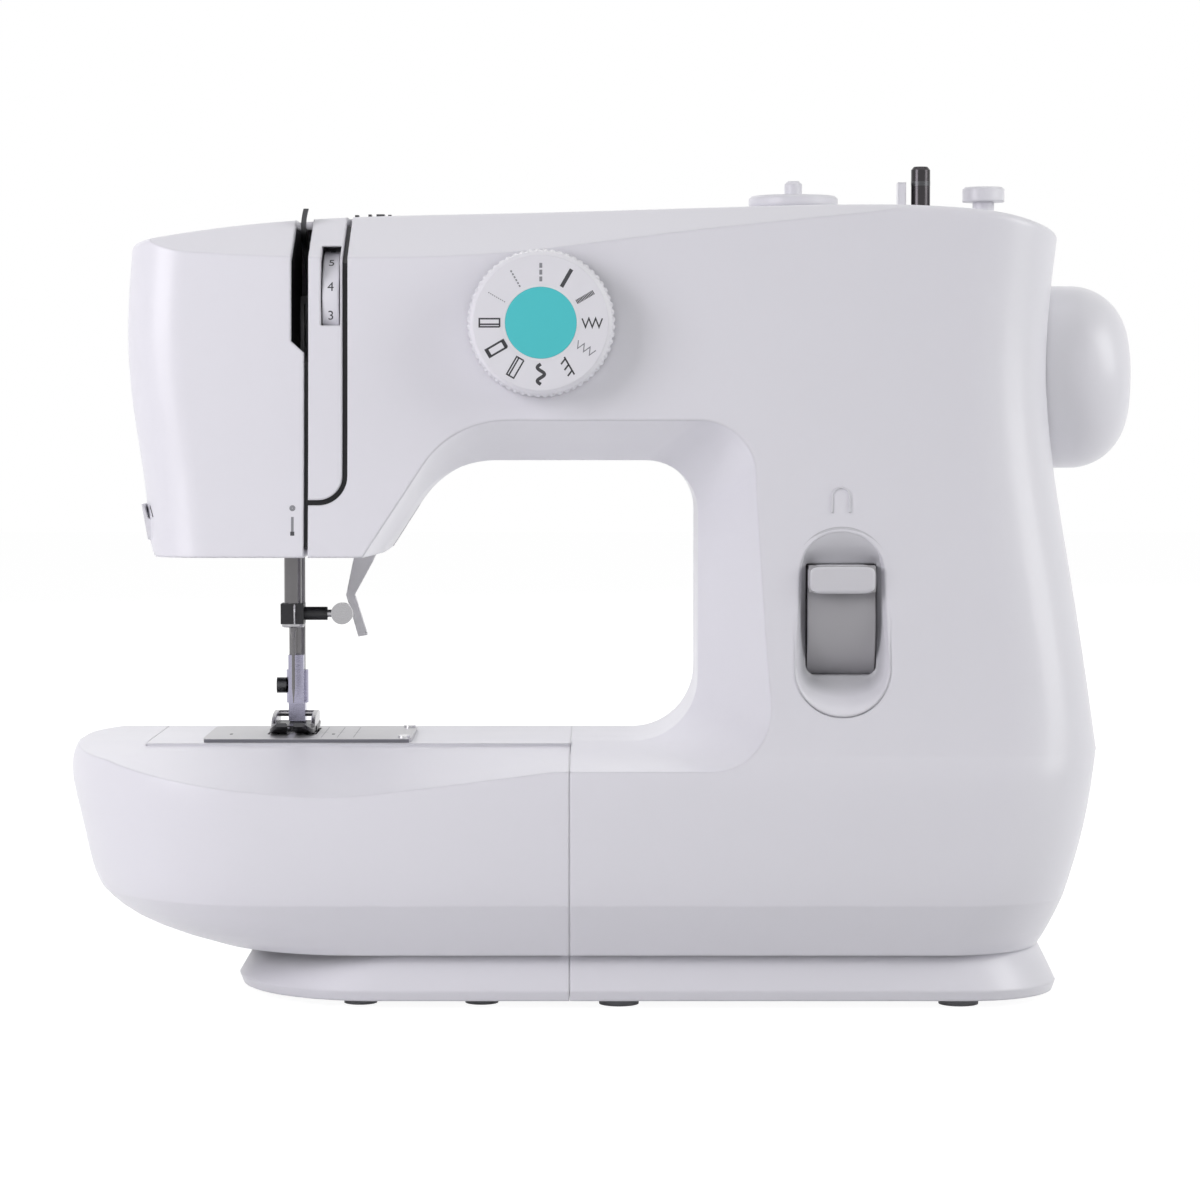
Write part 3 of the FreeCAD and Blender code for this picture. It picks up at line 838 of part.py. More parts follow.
dial = turned("pattern_dial", [("0", "0"), ("dial_radius", "0"), ("dial_radius", "0.55 * dial_height"),
                               ("dial_radius - 0.9", "dial_height - 1.2"), ("dial_radius - 2", "dial_height"), ("0", "dial_height")],
              ("-dial_x", "-waist_half_depth - 0.8", "dial_z"), "front")
groove = dial.newObject("Sketcher::SketchObject", "rib_groove")
groove.AttachmentSupport = [(next(f for f in dial.Origin.OriginFeatures if f.Role == "XY_Plane"), "")]
groove.MapMode = "FlatFace"
groove.addGeometry(Part.Circle(Vector(dim("dial_radius") + 0.25, 0, 0), Vector(0, 0, 1), 0.7), False)
groove.addConstraint(Sketcher.Constraint("PointOnObject", 0, 3, -1))
bind(groove, f"Constraints[{groove.addConstraint(Sketcher.Constraint('DistanceX', -1, 1, 0, 3, dim('dial_radius') + 0.25))}]", "dial_radius + 0.25")
groove.addConstraint(Sketcher.Constraint("Radius", 0, 0.7))
rib = dial.newObject("PartDesign::Pocket", "rib")
rib.Profile = groove
bind(rib, "Length", "0.85 * dial_height")
rib.Reversed = True
ribs = dial.newObject("PartDesign::PolarPattern", "ribs")
ribs.Originals = [rib]
ribs.Axis = (groove, ["N_Axis"])
bind(ribs, "Occurrences", "dial_ribs")
dial.Tip = ribs
subpart(dial, "pattern_dial")
subpart(turned("pattern_cam", [("0", "0"), ("dial_shaft_radius", "0"), ("dial_shaft_radius", "16"), ("cam_radius", "16"), ("cam_radius", "22"),
                               ("cam_radius - 3", "22"), ("cam_radius - 3", "28"), ("cam_radius - 1", "28"), ("cam_radius - 1", "35"),
                               ("dial_shaft_radius", "35"), ("dial_shaft_radius", "42"), ("0", "42")],
               ("-dial_x", "-waist_half_depth - 0.8", "dial_z"), "y"), "pattern_cam")

# Reverse stitch lever: a drum behind the window with a tab to press.

drum = rod("lever_radius", "lever_width", ("lever_x - 0.5 * lever_width", "-lever_y", "lever_z"), "x")
front_part = block(("lever_x - lever_width", "-lever_y - lever_radius - 5", "lever_z - lever_radius"),
                   ("lever_x + lever_width", "-lever_y + 7", "lever_z + lever_radius"))
tab = block(("lever_x - 0.5 * lever_width + 0.3", "-lever_y - lever_radius - 3.5", "lever_z + 8.5"),
            ("lever_x + 0.5 * lever_width - 0.3", "-lever_y - 15", "lever_z + 0.5 * window_height - 0.4"))
subpart(cut(fuse(common(drum, front_part), tab), rod("2.5 + running_gap", "40", ("post_x - 5", "-lever_y", "lever_z"), "x")), "reverse_lever")

# Spool seat and pin, bobbin winder and its stop, and the thread guide, all on top.

subpart(turned("spool_seat", [("spool_pin_radius + running_gap", "-14"), ("spool_pin_radius + 2.4", "-14"), ("spool_pin_radius + 2.4", "0.6"),
                              ("spool_seat_radius - 1.4", "0.6"), ("spool_seat_radius - 1.4", "2.2"), ("spool_seat_radius - 0.4", "2.6"),
                              ("spool_seat_radius", "3.4"), ("spool_seat_radius", "5.4"), ("spool_seat_radius - 0.8", "6.2"),
                              ("spool_pin_radius + running_gap", "6.2")], ("spool_x", "spool_y", "arm_top_z"), "z"), "spool_seat")
subpart(turned("spool_pin", [("0", "spool_pin_rise - spool_pin_length"), ("spool_pin_radius + 1.4", "spool_pin_rise - spool_pin_length"),
                             ("spool_pin_radius + 1.4", "spool_pin_rise - spool_pin_length + 2"), ("spool_pin_radius", "spool_pin_rise - spool_pin_length + 2"),
                             ("spool_pin_radius", "spool_pin_rise - 1"), ("spool_pin_radius - 1", "spool_pin_rise"), ("0", "spool_pin_rise")],
               ("spool_x", "spool_y", "arm_top_z"), "z"), "spool_pin")
subpart(cut(block(("winder_x - 5", "winder_y - 5", "beam_top_z + 13"), ("winder_x + 5", "beam_y + 11", "beam_top_z + 17")),
            rod("winder_radius + 0.6 + running_gap", "30", ("winder_x", "winder_y", "beam_top_z")),
            rod("winder_radius + running_gap", "30", ("winder_x", "beam_y + 6", "beam_top_z"))), "winder_arm")
subpart(turned("winder_spindle", [("0", "0"), ("winder_wheel_radius", "0"), ("winder_wheel_radius", "6"), ("winder_radius + 0.6", "6"),
                                  ("winder_radius + 0.6", "arm_top_z - beam_top_z + 4"), ("winder_radius", "arm_top_z - beam_top_z + 4"),
                                  ("winder_radius", "arm_top_z + winder_rise - beam_top_z + 2"), ("winder_radius - 0.8", "arm_top_z + winder_rise - beam_top_z + 3"),
                                  ("0", "arm_top_z + winder_rise - beam_top_z + 3")], ("winder_x", "winder_y", "beam_top_z - 3"), "z"), "winder_spindle")
stop = turned("stop_knob", [("0", "-14"), ("2.2", "-14"), ("2.2", "-1"), ("3.4", "-1"), ("3.4", "stop_rise - 4.6"), ("stop_radius", "stop_rise - 4.6"),
                               ("stop_radius", "stop_rise - 0.6"), ("stop_radius - 0.6", "stop_rise"), ("0", "stop_rise")],
               ("stop_x", "stop_y", "arm_top_z"), "z")
subpart(group(stop, winder_tab), "winder_stop")
guide_z = "arm_top_z - 1.8"
guide_peg = rod("0.8", "17", ("peg_x", "peg_y", "arm_top_z - 15"))
guide_plate = fuse(block(("-guide_slot_x + 1", "6", "arm_top_z - 10"), ("-guide_slot_x + 7", "10", f"{guide_z} + 0.5")),
                   block(("-guide_slot_x - 0.6", "3", guide_z), ("-guide_slot_x + 11", "11", f"{guide_z} + 0.8")),
                   block(("-guide_slot_x - 0.6", "5", guide_z), ("-guide_slot_x + 0.6", "9", f"{guide_z} + 1.7")),
                   block(("-guide_slot_x + 3.6", "5", guide_z), ("-guide_slot_x + 4.6", "9", f"{guide_z} + 1.9")),
                   block(("-guide_slot_x + 6.2", "4", guide_z), ("-guide_slot_x + 8.7", "9", f"{guide_z} + 1.9")),
                   block(("-guide_slot_x + 9.8", "5", guide_z), ("-guide_slot_x + 10.8", "9", f"{guide_z} + 1.8")))
subpart(group(guide_plate, guide_peg), "thread_guide")

# Power inlet, switch, lamp and thread cutter.

inlet = block(("hip_right_x - 22", "inlet_y - 11", "switch_z - 9"), ("hip_right_x - 3.4", "inlet_y + 11", "switch_z + 9"))
socket = block(("hip_right_x - 16", "inlet_y - 8", "switch_z - 6"), ("hip_right_x + 2", "inlet_y + 8", "switch_z + 6"))
contacts = [rod("1.2", "5", ("hip_right_x - 17", f"inlet_y + {offset}", "switch_z"), "x") for offset in ("-4.5", "0", "4.5")]
bezel = block(("hip_right_x - 22", "-switch_y - 6", "switch_z - 10"), ("hip_right_x - 4.4", "-switch_y + 6", "switch_z + 10"))
well = block(("hip_right_x - 20", "-switch_y - 4.8", "switch_z - 8.4"), ("hip_right_x + 2", "-switch_y + 4.8", "switch_z + 8.4"))
rocker_pin = rod("1.2 + running_gap", "14", ("hip_right_x - 12", "-switch_y - 7", "switch_z"), "y")
subpart(group(fuse(cut(inlet, socket), *contacts), cut(bezel, well, rocker_pin)), "power_panel")
rocker = common(rod("8", "9", ("hip_right_x - 12", "-switch_y - 4.5", "switch_z"), "y"),
                block(("hip_right_x - 14", "-switch_y - 6", "switch_z - 7.2"), ("hip_right_x", "-switch_y + 6", "switch_z + 7.2")))
subpart(fuse(rocker, rod("1.2", "11.6", ("hip_right_x - 12", "-switch_y - 5.8", "switch_z"), "y")), "switch_rocker")
subpart(block(("-needle_x - 30", "-20", "head_bottom_z + 0.2"), ("-needle_x - 17", "-6", "head_bottom_z + 5")), "lamp")
subpart(cut(block(("-head_left_x + 4.2", "-32", "head_bottom_z + 12"), ("-head_left_x + 12", "-26", "head_bottom_z + 17")),
            block(("-head_left_x + 4", "-33", "head_bottom_z + 14"), ("-head_left_x + 6.4", "-25", "head_bottom_z + 15"))), "thread_cutter")

# Rubber feet.

base_spots = (("plinth_right_x - 31", "-plinth_half_depth + 12"), ("plinth_right_x - 31", "plinth_half_depth - 12"),
              ("tray_seam_x - 3.3", "-plinth_half_depth + 12"), ("tray_seam_x - 3.3", "plinth_half_depth - 12"),
              ("-plinth_left_x + 22", "plinth_half_depth - 22"))
subpart(group(*[rod("foot_radius", "foot_height", (x, y, "0")) for x, y in base_spots]), "base_feet")
tray_spots = ("-plinth_left_x + 39.3", "-plinth_left_x + 75.9")
subpart(group(*[rod("tray_foot_radius", "foot_height", (x, "-plinth_half_depth + 14", "0")) for x in tray_spots]), "tray_feet")


# Every object is checked, and each piece is written to its own file.

doc.recompute()
troubled = [thing.Label for thing in doc.Objects if "Invalid" in thing.State or "Error" in thing.State]
if troubled:
    raise RuntimeError(f"objects in trouble: {troubled}")
for piece in SUBPARTS:
    if piece.Shape.isNull() or not piece.Shape.isValid() or not piece.Shape.Solids:
        raise RuntimeError(f"{piece.Label} has no sound shape")
os.makedirs("parts", exist_ok=True)
for piece in SUBPARTS:
    piece.Shape.exportStep(f"parts/{piece.Label}.step")
print(f"{len(SUBPARTS)} pieces written")
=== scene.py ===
import math

import bpy
import numpy as np
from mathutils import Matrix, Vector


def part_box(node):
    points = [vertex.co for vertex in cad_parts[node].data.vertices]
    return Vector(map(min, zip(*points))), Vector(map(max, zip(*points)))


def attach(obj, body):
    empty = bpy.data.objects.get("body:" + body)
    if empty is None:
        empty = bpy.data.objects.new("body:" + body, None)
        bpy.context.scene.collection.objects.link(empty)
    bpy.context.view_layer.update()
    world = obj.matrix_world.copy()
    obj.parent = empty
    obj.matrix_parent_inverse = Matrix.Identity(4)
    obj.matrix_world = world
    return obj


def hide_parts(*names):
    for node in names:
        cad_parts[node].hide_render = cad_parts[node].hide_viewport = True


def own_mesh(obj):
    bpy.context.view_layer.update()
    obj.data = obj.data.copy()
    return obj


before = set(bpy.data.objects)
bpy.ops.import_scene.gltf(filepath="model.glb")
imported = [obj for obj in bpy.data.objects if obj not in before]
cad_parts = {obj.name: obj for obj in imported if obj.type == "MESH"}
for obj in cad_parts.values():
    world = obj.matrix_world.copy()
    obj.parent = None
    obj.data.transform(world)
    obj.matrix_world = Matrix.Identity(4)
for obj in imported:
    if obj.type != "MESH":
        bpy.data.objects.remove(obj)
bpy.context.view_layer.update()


# Frame: an aluminium die casting that carries every shaft, with four pressed steel pins.
# It stays rough from the mould except where it is bored.
def new_finish(name, colour, metallic, roughness):
    """An empty finish with its shader, and a node that gives each point's place on the machine."""
    material = bpy.data.materials.new(name)
    material.use_nodes = True
    tree = material.node_tree
    shader = tree.nodes["Principled BSDF"]
    shader.inputs["Base Color"].default_value = (*colour, 1.0)
    shader.inputs["Metallic"].default_value = metallic
    shader.inputs["Roughness"].default_value = roughness
    return material, tree, shader, tree.nodes.new("ShaderNodeTexCoord")


def noise_field(tree, place, scale, detail=2.0, stretch=None):
    """Noise over the machine's own coordinates, drawn out along the axes given by stretch."""
    field = tree.nodes.new("ShaderNodeTexNoise")
    field.inputs["Scale"].default_value = scale
    field.inputs["Detail"].default_value = detail
    source = place.outputs["Object"]
    if stretch:
        pull = tree.nodes.new("ShaderNodeMapping")
        pull.inputs["Scale"].default_value = stretch
        tree.links.new(source, pull.inputs["Vector"])
        source = pull.outputs["Vector"]
    tree.links.new(source, field.inputs["Vector"])
    return field.outputs["Fac"]


def vary(tree, field, socket, low, high):
    """Lets a field swing a number of the shader between two values."""
    spread = tree.nodes.new("ShaderNodeMapRange")
    spread.inputs["From Min"].default_value = 0.3
    spread.inputs["From Max"].default_value = 0.7
    spread.inputs["To Min"].default_value = low
    spread.inputs["To Max"].default_value = high
    tree.links.new(field, spread.inputs["Value"])
    tree.links.new(spread.outputs["Result"], socket)


def tint(tree, field, socket, dark, light):
    """Mixes two close shades by a field."""
    blend = tree.nodes.new("ShaderNodeMix")
    blend.data_type = "RGBA"
    blend.inputs[6].default_value = (*dark, 1.0)
    blend.inputs[7].default_value = (*light, 1.0)
    tree.links.new(field, blend.inputs[0])
    tree.links.new(blend.outputs[2], socket)


def relief(tree, field, depth, strength, under=None):
    """A bump of the given depth in metres, laid over an earlier normal where there is one."""
    bump = tree.nodes.new("ShaderNodeBump")
    bump.inputs["Strength"].default_value = strength
    bump.inputs["Distance"].default_value = depth
    tree.links.new(field, bump.inputs["Height"])
    if under:
        tree.links.new(under, bump.inputs["Normal"])
    return bump.outputs["Normal"]


def cast_metal(name, light, dark, roughness):
    """Die-cast or painted metal: clouded shade, and a pebbly skin from two noises."""
    material, tree, shader, place = new_finish(name, light, 0.85, roughness)
    tint(tree, noise_field(tree, place, 30.0), shader.inputs["Base Color"], dark, light)
    vary(tree, noise_field(tree, place, 120.0), shader.inputs["Roughness"], roughness - 0.08, roughness + 0.08)
    skin = relief(tree, noise_field(tree, place, 900.0), 0.00008, 0.5)
    tree.links.new(skin, shader.inputs["Normal"])
    return material


def ground_metal(name, light, dark, roughness, grain=(400.0, 400.0, 9000.0)):
    """Ground steel: fine lines drawn out across the grain rough up the mirror and score it lightly."""
    material, tree, shader, place = new_finish(name, light, 1.0, roughness)
    lines = noise_field(tree, place, 1.0, 3.0, grain)
    tint(tree, noise_field(tree, place, 90.0), shader.inputs["Base Color"], dark, light)
    vary(tree, lines, shader.inputs["Roughness"], roughness - 0.04, roughness + 0.06)
    tree.links.new(relief(tree, lines, 0.000004, 0.15), shader.inputs["Normal"])
    return material


def dress(material, *nodes):
    """Gives CAD nodes their finish."""
    for node in nodes:
        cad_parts[node].material_slots[0].material = material


aluminium = cast_metal("aluminium", (0.52, 0.52, 0.54), (0.44, 0.44, 0.46), 0.46)
steel = ground_metal("steel", (0.60, 0.59, 0.58), (0.52, 0.51, 0.50), 0.27)
dress(aluminium, "main_frame", "needle_bar_frame", "presser_bracket", "winder_arm")
dress(steel, "frame_pins")

# Upper and lower shafts: ground steel bars with steel wheels and a balanced crank disc.
# Toothed rubber belts tie them to each other and to the motor at the back of the column.
dress(steel, "main_shaft", "drive_wheels", "crank_disc", "lower_shaft", "lower_pulley", "motor_shaft")


def soft_rubber(name, light, dark, pitch):
    """Black rubber: a dusty shade, fine pores, and cross ribs at the given pitch in metres."""
    material, tree, shader, place = new_finish(name, light, 0.0, 0.72)
    tint(tree, noise_field(tree, place, 160.0, 4.0), shader.inputs["Base Color"], dark, light)
    vary(tree, noise_field(tree, place, 300.0), shader.inputs["Roughness"], 0.62, 0.84)
    ribs = tree.nodes.new("ShaderNodeTexWave")
    ribs.bands_direction = "Z"
    ribs.inputs["Scale"].default_value = 0.314 / pitch
    tree.links.new(place.outputs["Object"], ribs.inputs["Vector"])
    pores = relief(tree, noise_field(tree, place, 2500.0), 0.00002, 0.4)
    tree.links.new(relief(tree, ribs.outputs["Fac"], 0.0003, 0.4, pores), shader.inputs["Normal"])
    return material


belt_rubber = soft_rubber("belt_rubber", (0.030, 0.030, 0.032), (0.016, 0.016, 0.017), 0.003)
dress(belt_rubber, "drive_belt", "timing_belt")
motor_paint = cast_metal("motor_paint", (0.050, 0.052, 0.058), (0.034, 0.035, 0.040), 0.50)
dress(motor_paint, "motor")

# Hook and bobbin: a hardened steel shuttle swings in its race round a steel bobbin case.
# The bobbin itself is a clear moulding that drops in from the front.
hard_steel = ground_metal("hard_steel", (0.70, 0.70, 0.71), (0.62, 0.62, 0.63), 0.16, (900.0, 6000.0, 900.0))
dress(hard_steel, "hook_race", "shuttle_hook", "bobbin_case")


def clear_plastic(name, colour, roughness):
    """Clear or frosted moulding: light passes with a slight haze that wanders over the piece."""
    material, tree, shader, place = new_finish(name, colour, 0.0, roughness)
    shader.inputs["IOR"].default_value = 1.49
    shader.inputs["Transmission Weight"].default_value = 0.85
    vary(tree, noise_field(tree, place, 240.0), shader.inputs["Roughness"], roughness, roughness + 0.08)
    return material


bobbin_clear = clear_plastic("bobbin_clear", (0.90, 0.92, 0.95), 0.08)
dress(bobbin_clear, "bobbin")

# Feed: a cast bar carries two rows of hardened teeth that rise through the needle plate.
# The teeth are broached, so each row is one saw-toothed strip.
dress(aluminium, "feed_bar")
dress(hard_steel, "feed_dog")


def lofts(name, shapes, material, body):
    """Closed solids in one mesh. A shape is an array of rings in millimetres, (rings, points, xyz): neighbouring
    rings are joined by quads, and the first and last are closed by a flat face each, or joined where the last
    repeats the first. A shape whose signed volume comes out negative is turned to face outwards."""
    points, faces, start = [], [], 0
    for rings in shapes:
        rings = np.asarray(rings, float)
        looped = np.allclose(rings[0], rings[-1])
        rings = rings[:-1] if looped else rings
        count, around = rings.shape[:2]
        row = np.arange(count if looped else count - 1)[:, None] * around
        a, b = (row + np.arange(around)).ravel(), (row + np.roll(np.arange(around), -1)).ravel()
        quads = np.stack([a, b, b + around, a + around], axis=1) % (count * around)
        flat = rings.reshape(-1, 3)
        lids = [] if looped else [np.arange(around)[::-1], np.arange(around) + (count - 1) * around]
        inside = flat - flat.mean(axis=0)
        corners = inside[quads]
        volume = np.einsum("ij,ij->", corners[:, 0], np.cross(corners[:, 1], corners[:, 2]))
        volume += np.einsum("ij,ij->", corners[:, 0], np.cross(corners[:, 2], corners[:, 3]))
        for lid in lids:
            fan = inside[lid]
            volume += np.einsum("j,ij->", fan[0], np.cross(fan[1:-1], fan[2:]))
        turn = -1 if volume < 0 else 1
        faces += (quads[:, ::turn] + start).tolist() + [(lid[::turn] + start).tolist() for lid in lids]
        points.append(flat)
        start += len(flat)
    mesh = bpy.data.meshes.new(name)
    mesh.from_pydata((np.concatenate(points) / 1000.0).tolist(), [], faces)
    mesh.polygons.foreach_set("use_smooth", np.ones(len(faces), bool))
    mesh.set_sharp_from_angle(angle=math.radians(38.0))
    mesh.materials.append(material)
    piece = bpy.data.objects.new(name, mesh)
    bpy.context.scene.collection.objects.link(piece)
    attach(piece, body)
    return piece


def saw_row(x_low, x_high, y_low, y_high, z_root, z_tip, pitch):
    """A row of feed teeth along Y: the top runs up by a slope and drops at each pitch, swept straight across X."""
    count = int(round((y_high - y_low) / pitch))
    steps = np.arange(count)[:, None] * pitch + y_low + np.array([0.0, 0.8, 0.98]) * pitch
    tops = np.broadcast_to(np.array([z_root, z_tip, z_tip]), steps.shape)
    y = np.concatenate([steps.ravel(), [y_high, y_high, y_low]])
    z = np.concatenate([tops.ravel(), [z_root, z_root - 0.5, z_root - 0.5]])
    outline = np.stack([np.zeros_like(y), y, z], axis=1)
    return np.stack([outline + (x_low, 0, 0), outline + (x_high, 0, 0)])


def corners_of(node):
    """A CAD node's lowest and highest corners at rest, in millimetres."""
    return np.array(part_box(node)) * 1000.0


TOOTH_PITCH, ROW_WIDTH, ROW_OFFSET, ROW_FRONT, ROW_BACK = 1.05, 2.5, 5.85, -3.9, 12.9
dog_low, dog_high = corners_of("feed_dog")
row_middles = 0.5 * (dog_low[0] + dog_high[0]) + np.array([-ROW_OFFSET, ROW_OFFSET])
teeth = [saw_row(middle - 0.5 * ROW_WIDTH, middle + 0.5 * ROW_WIDTH, ROW_FRONT, ROW_BACK,
                 dog_high[2] - 0.1, dog_high[2] + 0.25, TOOTH_PITCH) for middle in row_middles]
lofts("feed_teeth", teeth, hard_steel, "feed")

# Base pan and feet: a white moulded pan under the column and the free arm.
# Rubber feet are pressed into its corners.
def moulded_plastic(name, light, dark, roughness, soft_edge=0.0, coat=0.12):
    """Moulded plastic: two close shades mixed by broad noise, roughness that wanders a little with a finer
    noise, and a bump of spark-eroded grain over a slow ripple. Sharp edges are shaded over soft_edge metres,
    as the radius that every moulded edge has."""
    material, tree, shader, place = new_finish(name, light, 0.0, roughness)
    shader.inputs["IOR"].default_value = 1.49
    shader.inputs["Coat Weight"].default_value = coat
    shader.inputs["Coat Roughness"].default_value = 0.14
    tint(tree, noise_field(tree, place, 14.0, 3.0), shader.inputs["Base Color"], dark, light)
    vary(tree, noise_field(tree, place, 60.0, 4.0), shader.inputs["Roughness"], roughness - 0.03, roughness + 0.03)
    under = None
    if soft_edge:
        edge = tree.nodes.new("ShaderNodeBevel")
        edge.samples = 4
        edge.inputs["Radius"].default_value = soft_edge
        under = edge.outputs["Normal"]
    ripple = relief(tree, noise_field(tree, place, 220.0, 1.0), 0.00005, 0.2, under)
    grain = relief(tree, noise_field(tree, place, 1900.0), 0.000016, 0.2, ripple)
    tree.links.new(grain, shader.inputs["Normal"])
    return material


casing_white = moulded_plastic("casing_white", (0.745, 0.740, 0.780), (0.728, 0.723, 0.765), 0.36, 0.0012)
dress(casing_white, "base_pan")
foot_rubber = soft_rubber("foot_rubber", (0.30, 0.30, 0.31), (0.25, 0.25, 0.26), 0.0016)
dress(foot_rubber, "base_feet")

# Free arm: a slim white box that the work is slipped over, with a hinged door in front of the bobbin.
# The door lies flush under the tray and swings down to the front once the tray is off.
dress(casing_white, "free_arm", "bobbin_door")

# Needle plate: ground and plated steel, held by two screws, with guide lines cut beside the needle.
# The lines stand ten, fifteen and twenty millimetres from the needle and are filled with dark paint.
plate_steel = ground_metal("plate_steel", (0.60, 0.595, 0.61), (0.55, 0.545, 0.56), 0.42, (300.0, 9000.0, 300.0))
dress(plate_steel, "needle_plate")
dress(hard_steel, "plate_screws")
NEEDLE_X = -96.6
PLATE_TOP = 77.2


def strokes(paths, width, to_space, rise):
    """Painted or cut lines as flat bars: each path, a list of flat points, is widened by half the width to both sides
    along the mean of the normals of its neighbouring runs, and given the rise as its height."""
    shapes = []
    for path in paths:
        path = np.asarray(path, float)
        runs = np.diff(path, axis=0)
        runs = runs / np.linalg.norm(runs, axis=1, keepdims=True)
        runs = np.concatenate([runs[:1], 0.5 * (runs[:-1] + runs[1:]), runs[-1:]])
        runs = runs / np.sum(runs * runs, axis=1, keepdims=True)
        side = np.stack([-runs[:, 1], runs[:, 0]], axis=1) * 0.5 * width
        left, right = path + side, path - side
        low, high = rise
        corners = [to_space(flat, height) for flat, height in ((left, low), (left, high), (right, high), (right, low))]
        shapes.append(np.stack(corners, axis=1))
    return shapes


def on_plate(flat, height):
    """Flat points of the plate are X to the right and Y to the back."""
    return np.stack([flat[:, 0], flat[:, 1], np.full(len(flat), PLATE_TOP + height)], axis=1)


print_grey = moulded_plastic("print_grey", (0.26, 0.26, 0.28), (0.22, 0.22, 0.24), 0.5, 0.0, 0.0)
line_paint = moulded_plastic("line_paint", (0.055, 0.055, 0.060), (0.040, 0.040, 0.044), 0.55, 0.0, 0.0)
GUIDE_DISTANCES, GUIDE_HALF = (10.0, 15.0, 20.0), 17.0
guide_lines = [[(NEEDLE_X + away, -GUIDE_HALF), (NEEDLE_X + away, GUIDE_HALF)] for away in GUIDE_DISTANCES]
guide_lines += [[(NEEDLE_X + away - 1.0, 0.0), (NEEDLE_X + away + 1.0, 0.0)] for away in GUIDE_DISTANCES]
lofts("plate_lines", strokes(guide_lines, 0.22, on_plate, (-0.05, 0.02)), print_grey, "machine")
notches = [[(NEEDLE_X + away, -7.5), (NEEDLE_X + away, -4.5)] for away in (-19.0, 13.0)]
lofts("plate_notches", strokes(notches, 0.9, on_plate, (-0.05, 0.03)), line_paint, "machine")
# A dark strip along the front face of the plate, just under its top: painted shade where the edge falls into shadow.
edge_painted_shade = ground_metal("edge_painted_shade", (0.17, 0.17, 0.19), (0.14, 0.14, 0.16), 0.40)
plate_low, plate_high = corners_of("needle_plate")
shade_band = [[(plate_low[0] + 0.6, plate_low[1] + 0.05), (plate_high[0] - 0.6, plate_low[1] + 0.05)]]
lofts("plate_edge_shade", strokes(shade_band, 0.30, on_plate, (-1.15, -0.12)), edge_painted_shade, "machine")

# Needle bar: a hollow ground rod on a swinging carrier, driven by a short link from the crank disc.
# The clamp at its foot is blackened, and its thumbscrew holds the needle's flat shank.
# The chrome is given a dark colour well below plated steel: painted reflection, standing in for the dark surroundings
# the bars mirror.
chrome = ground_metal("chrome", (0.185, 0.180, 0.185), (0.150, 0.145, 0.150), 0.17)
dress(chrome, "needle_bar", "needle")
thumb_steel = ground_metal("thumb_steel", (0.46, 0.455, 0.47), (0.40, 0.395, 0.41), 0.24)
dress(thumb_steel, "clamp_screw")
dress(steel, "needle_bar_link")
soft_black = moulded_plastic("soft_black", (0.014, 0.014, 0.016), (0.009, 0.009, 0.011), 0.46, 0.0, 0.0)
dress(soft_black, "needle_clamp")


def turned(profile, centre, axis, steps=48):
    """A turned shape: a profile of (distance along the axis, radius) pairs carried round the axis through the centre."""
    profile = np.asarray(profile, float)
    angle = np.linspace(0.0, 2.0 * math.pi, steps, endpoint=False)
    along = np.broadcast_to(profile[:, :1], (len(profile), steps))
    wide, deep = profile[:, 1:] * np.cos(angle), profile[:, 1:] * np.sin(angle)
    columns = {"x": (along, wide, deep), "y": (wide, along, deep), "z": (wide, deep, along)}[axis]
    return np.stack(columns, axis=2) + np.asarray(centre, float)


def wire(path, radius, steps=14):
    """A bent wire: a circle carried along the path, square to its run, on two directions that are kept from twisting
    by holding one of them near the axis that the path turns about least."""
    path = np.asarray(path, float)
    run = np.gradient(path, axis=0)
    run = run / np.linalg.norm(run, axis=1, keepdims=True)
    hold = np.eye(3)[np.argmin(np.abs(run).max(axis=0))]
    across = np.cross(run, hold)
    across = across / np.linalg.norm(across, axis=1, keepdims=True)
    over = np.cross(run, across)
    angle = np.linspace(0.0, 2.0 * math.pi, steps, endpoint=False)
    circle = np.cos(angle)[None, :, None] * across[:, None] + np.sin(angle)[None, :, None] * over[:, None]
    return path[:, None] + radius * circle


clamp_low = corners_of("needle_clamp")[0]
rim = np.array([(-1.1, 2.9), (-1.1, 3.35), (-0.8, 3.6), (0.1, 3.6), (0.1, 2.9)]) + (clamp_low[2], 0.0)
lofts("clamp_rim", [turned(rim, (NEEDLE_X, 0.0, 0.0), "z")], thumb_steel, "needle_bar")
bend = np.linspace(0.0, 1.0, 40)
loop = np.stack([np.full(len(bend), NEEDLE_X + 0.8), clamp_low[1] - 0.15 - 0.6 * np.sin(math.pi * bend),
                 clamp_low[2] + 0.2 + 6.0 * bend], axis=1)
lofts("clamp_loop", [wire(loop, 0.30)], thumb_steel, "needle_bar")

# Presser: a sprung ground bar with a die-cast holder, to which the hinged foot is clipped.
# A grey moulded lever at the back of the head lifts it by a cam; its colour is lightened almost to white as painted
# light against the head's shadow.
dress(chrome, "presser_bar")
spring_low, spring_high = corners_of("presser_spring")
spring_x, spring_y = 0.5 * (spring_low + spring_high)[:2]
SPRING_WIRE, SPRING_RADIUS, SPRING_TURNS, LIFT = 0.8, 4.5, 8.0, 5.0
turns = np.linspace(0.0, SPRING_TURNS, 385)
coil_angle = 2.0 * math.pi * turns
coil_rise = (spring_high[2] - spring_low[2] - 2.0 * SPRING_WIRE) * turns / SPRING_TURNS
coil = np.stack([spring_x + SPRING_RADIUS * np.cos(coil_angle), spring_y + SPRING_RADIUS * np.sin(coil_angle),
                 spring_low[2] + SPRING_WIRE + coil_rise], axis=1)
coil_spring = lofts("coil_spring", [wire(coil, SPRING_WIRE)], steel, "machine")
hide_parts("presser_spring")
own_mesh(coil_spring)
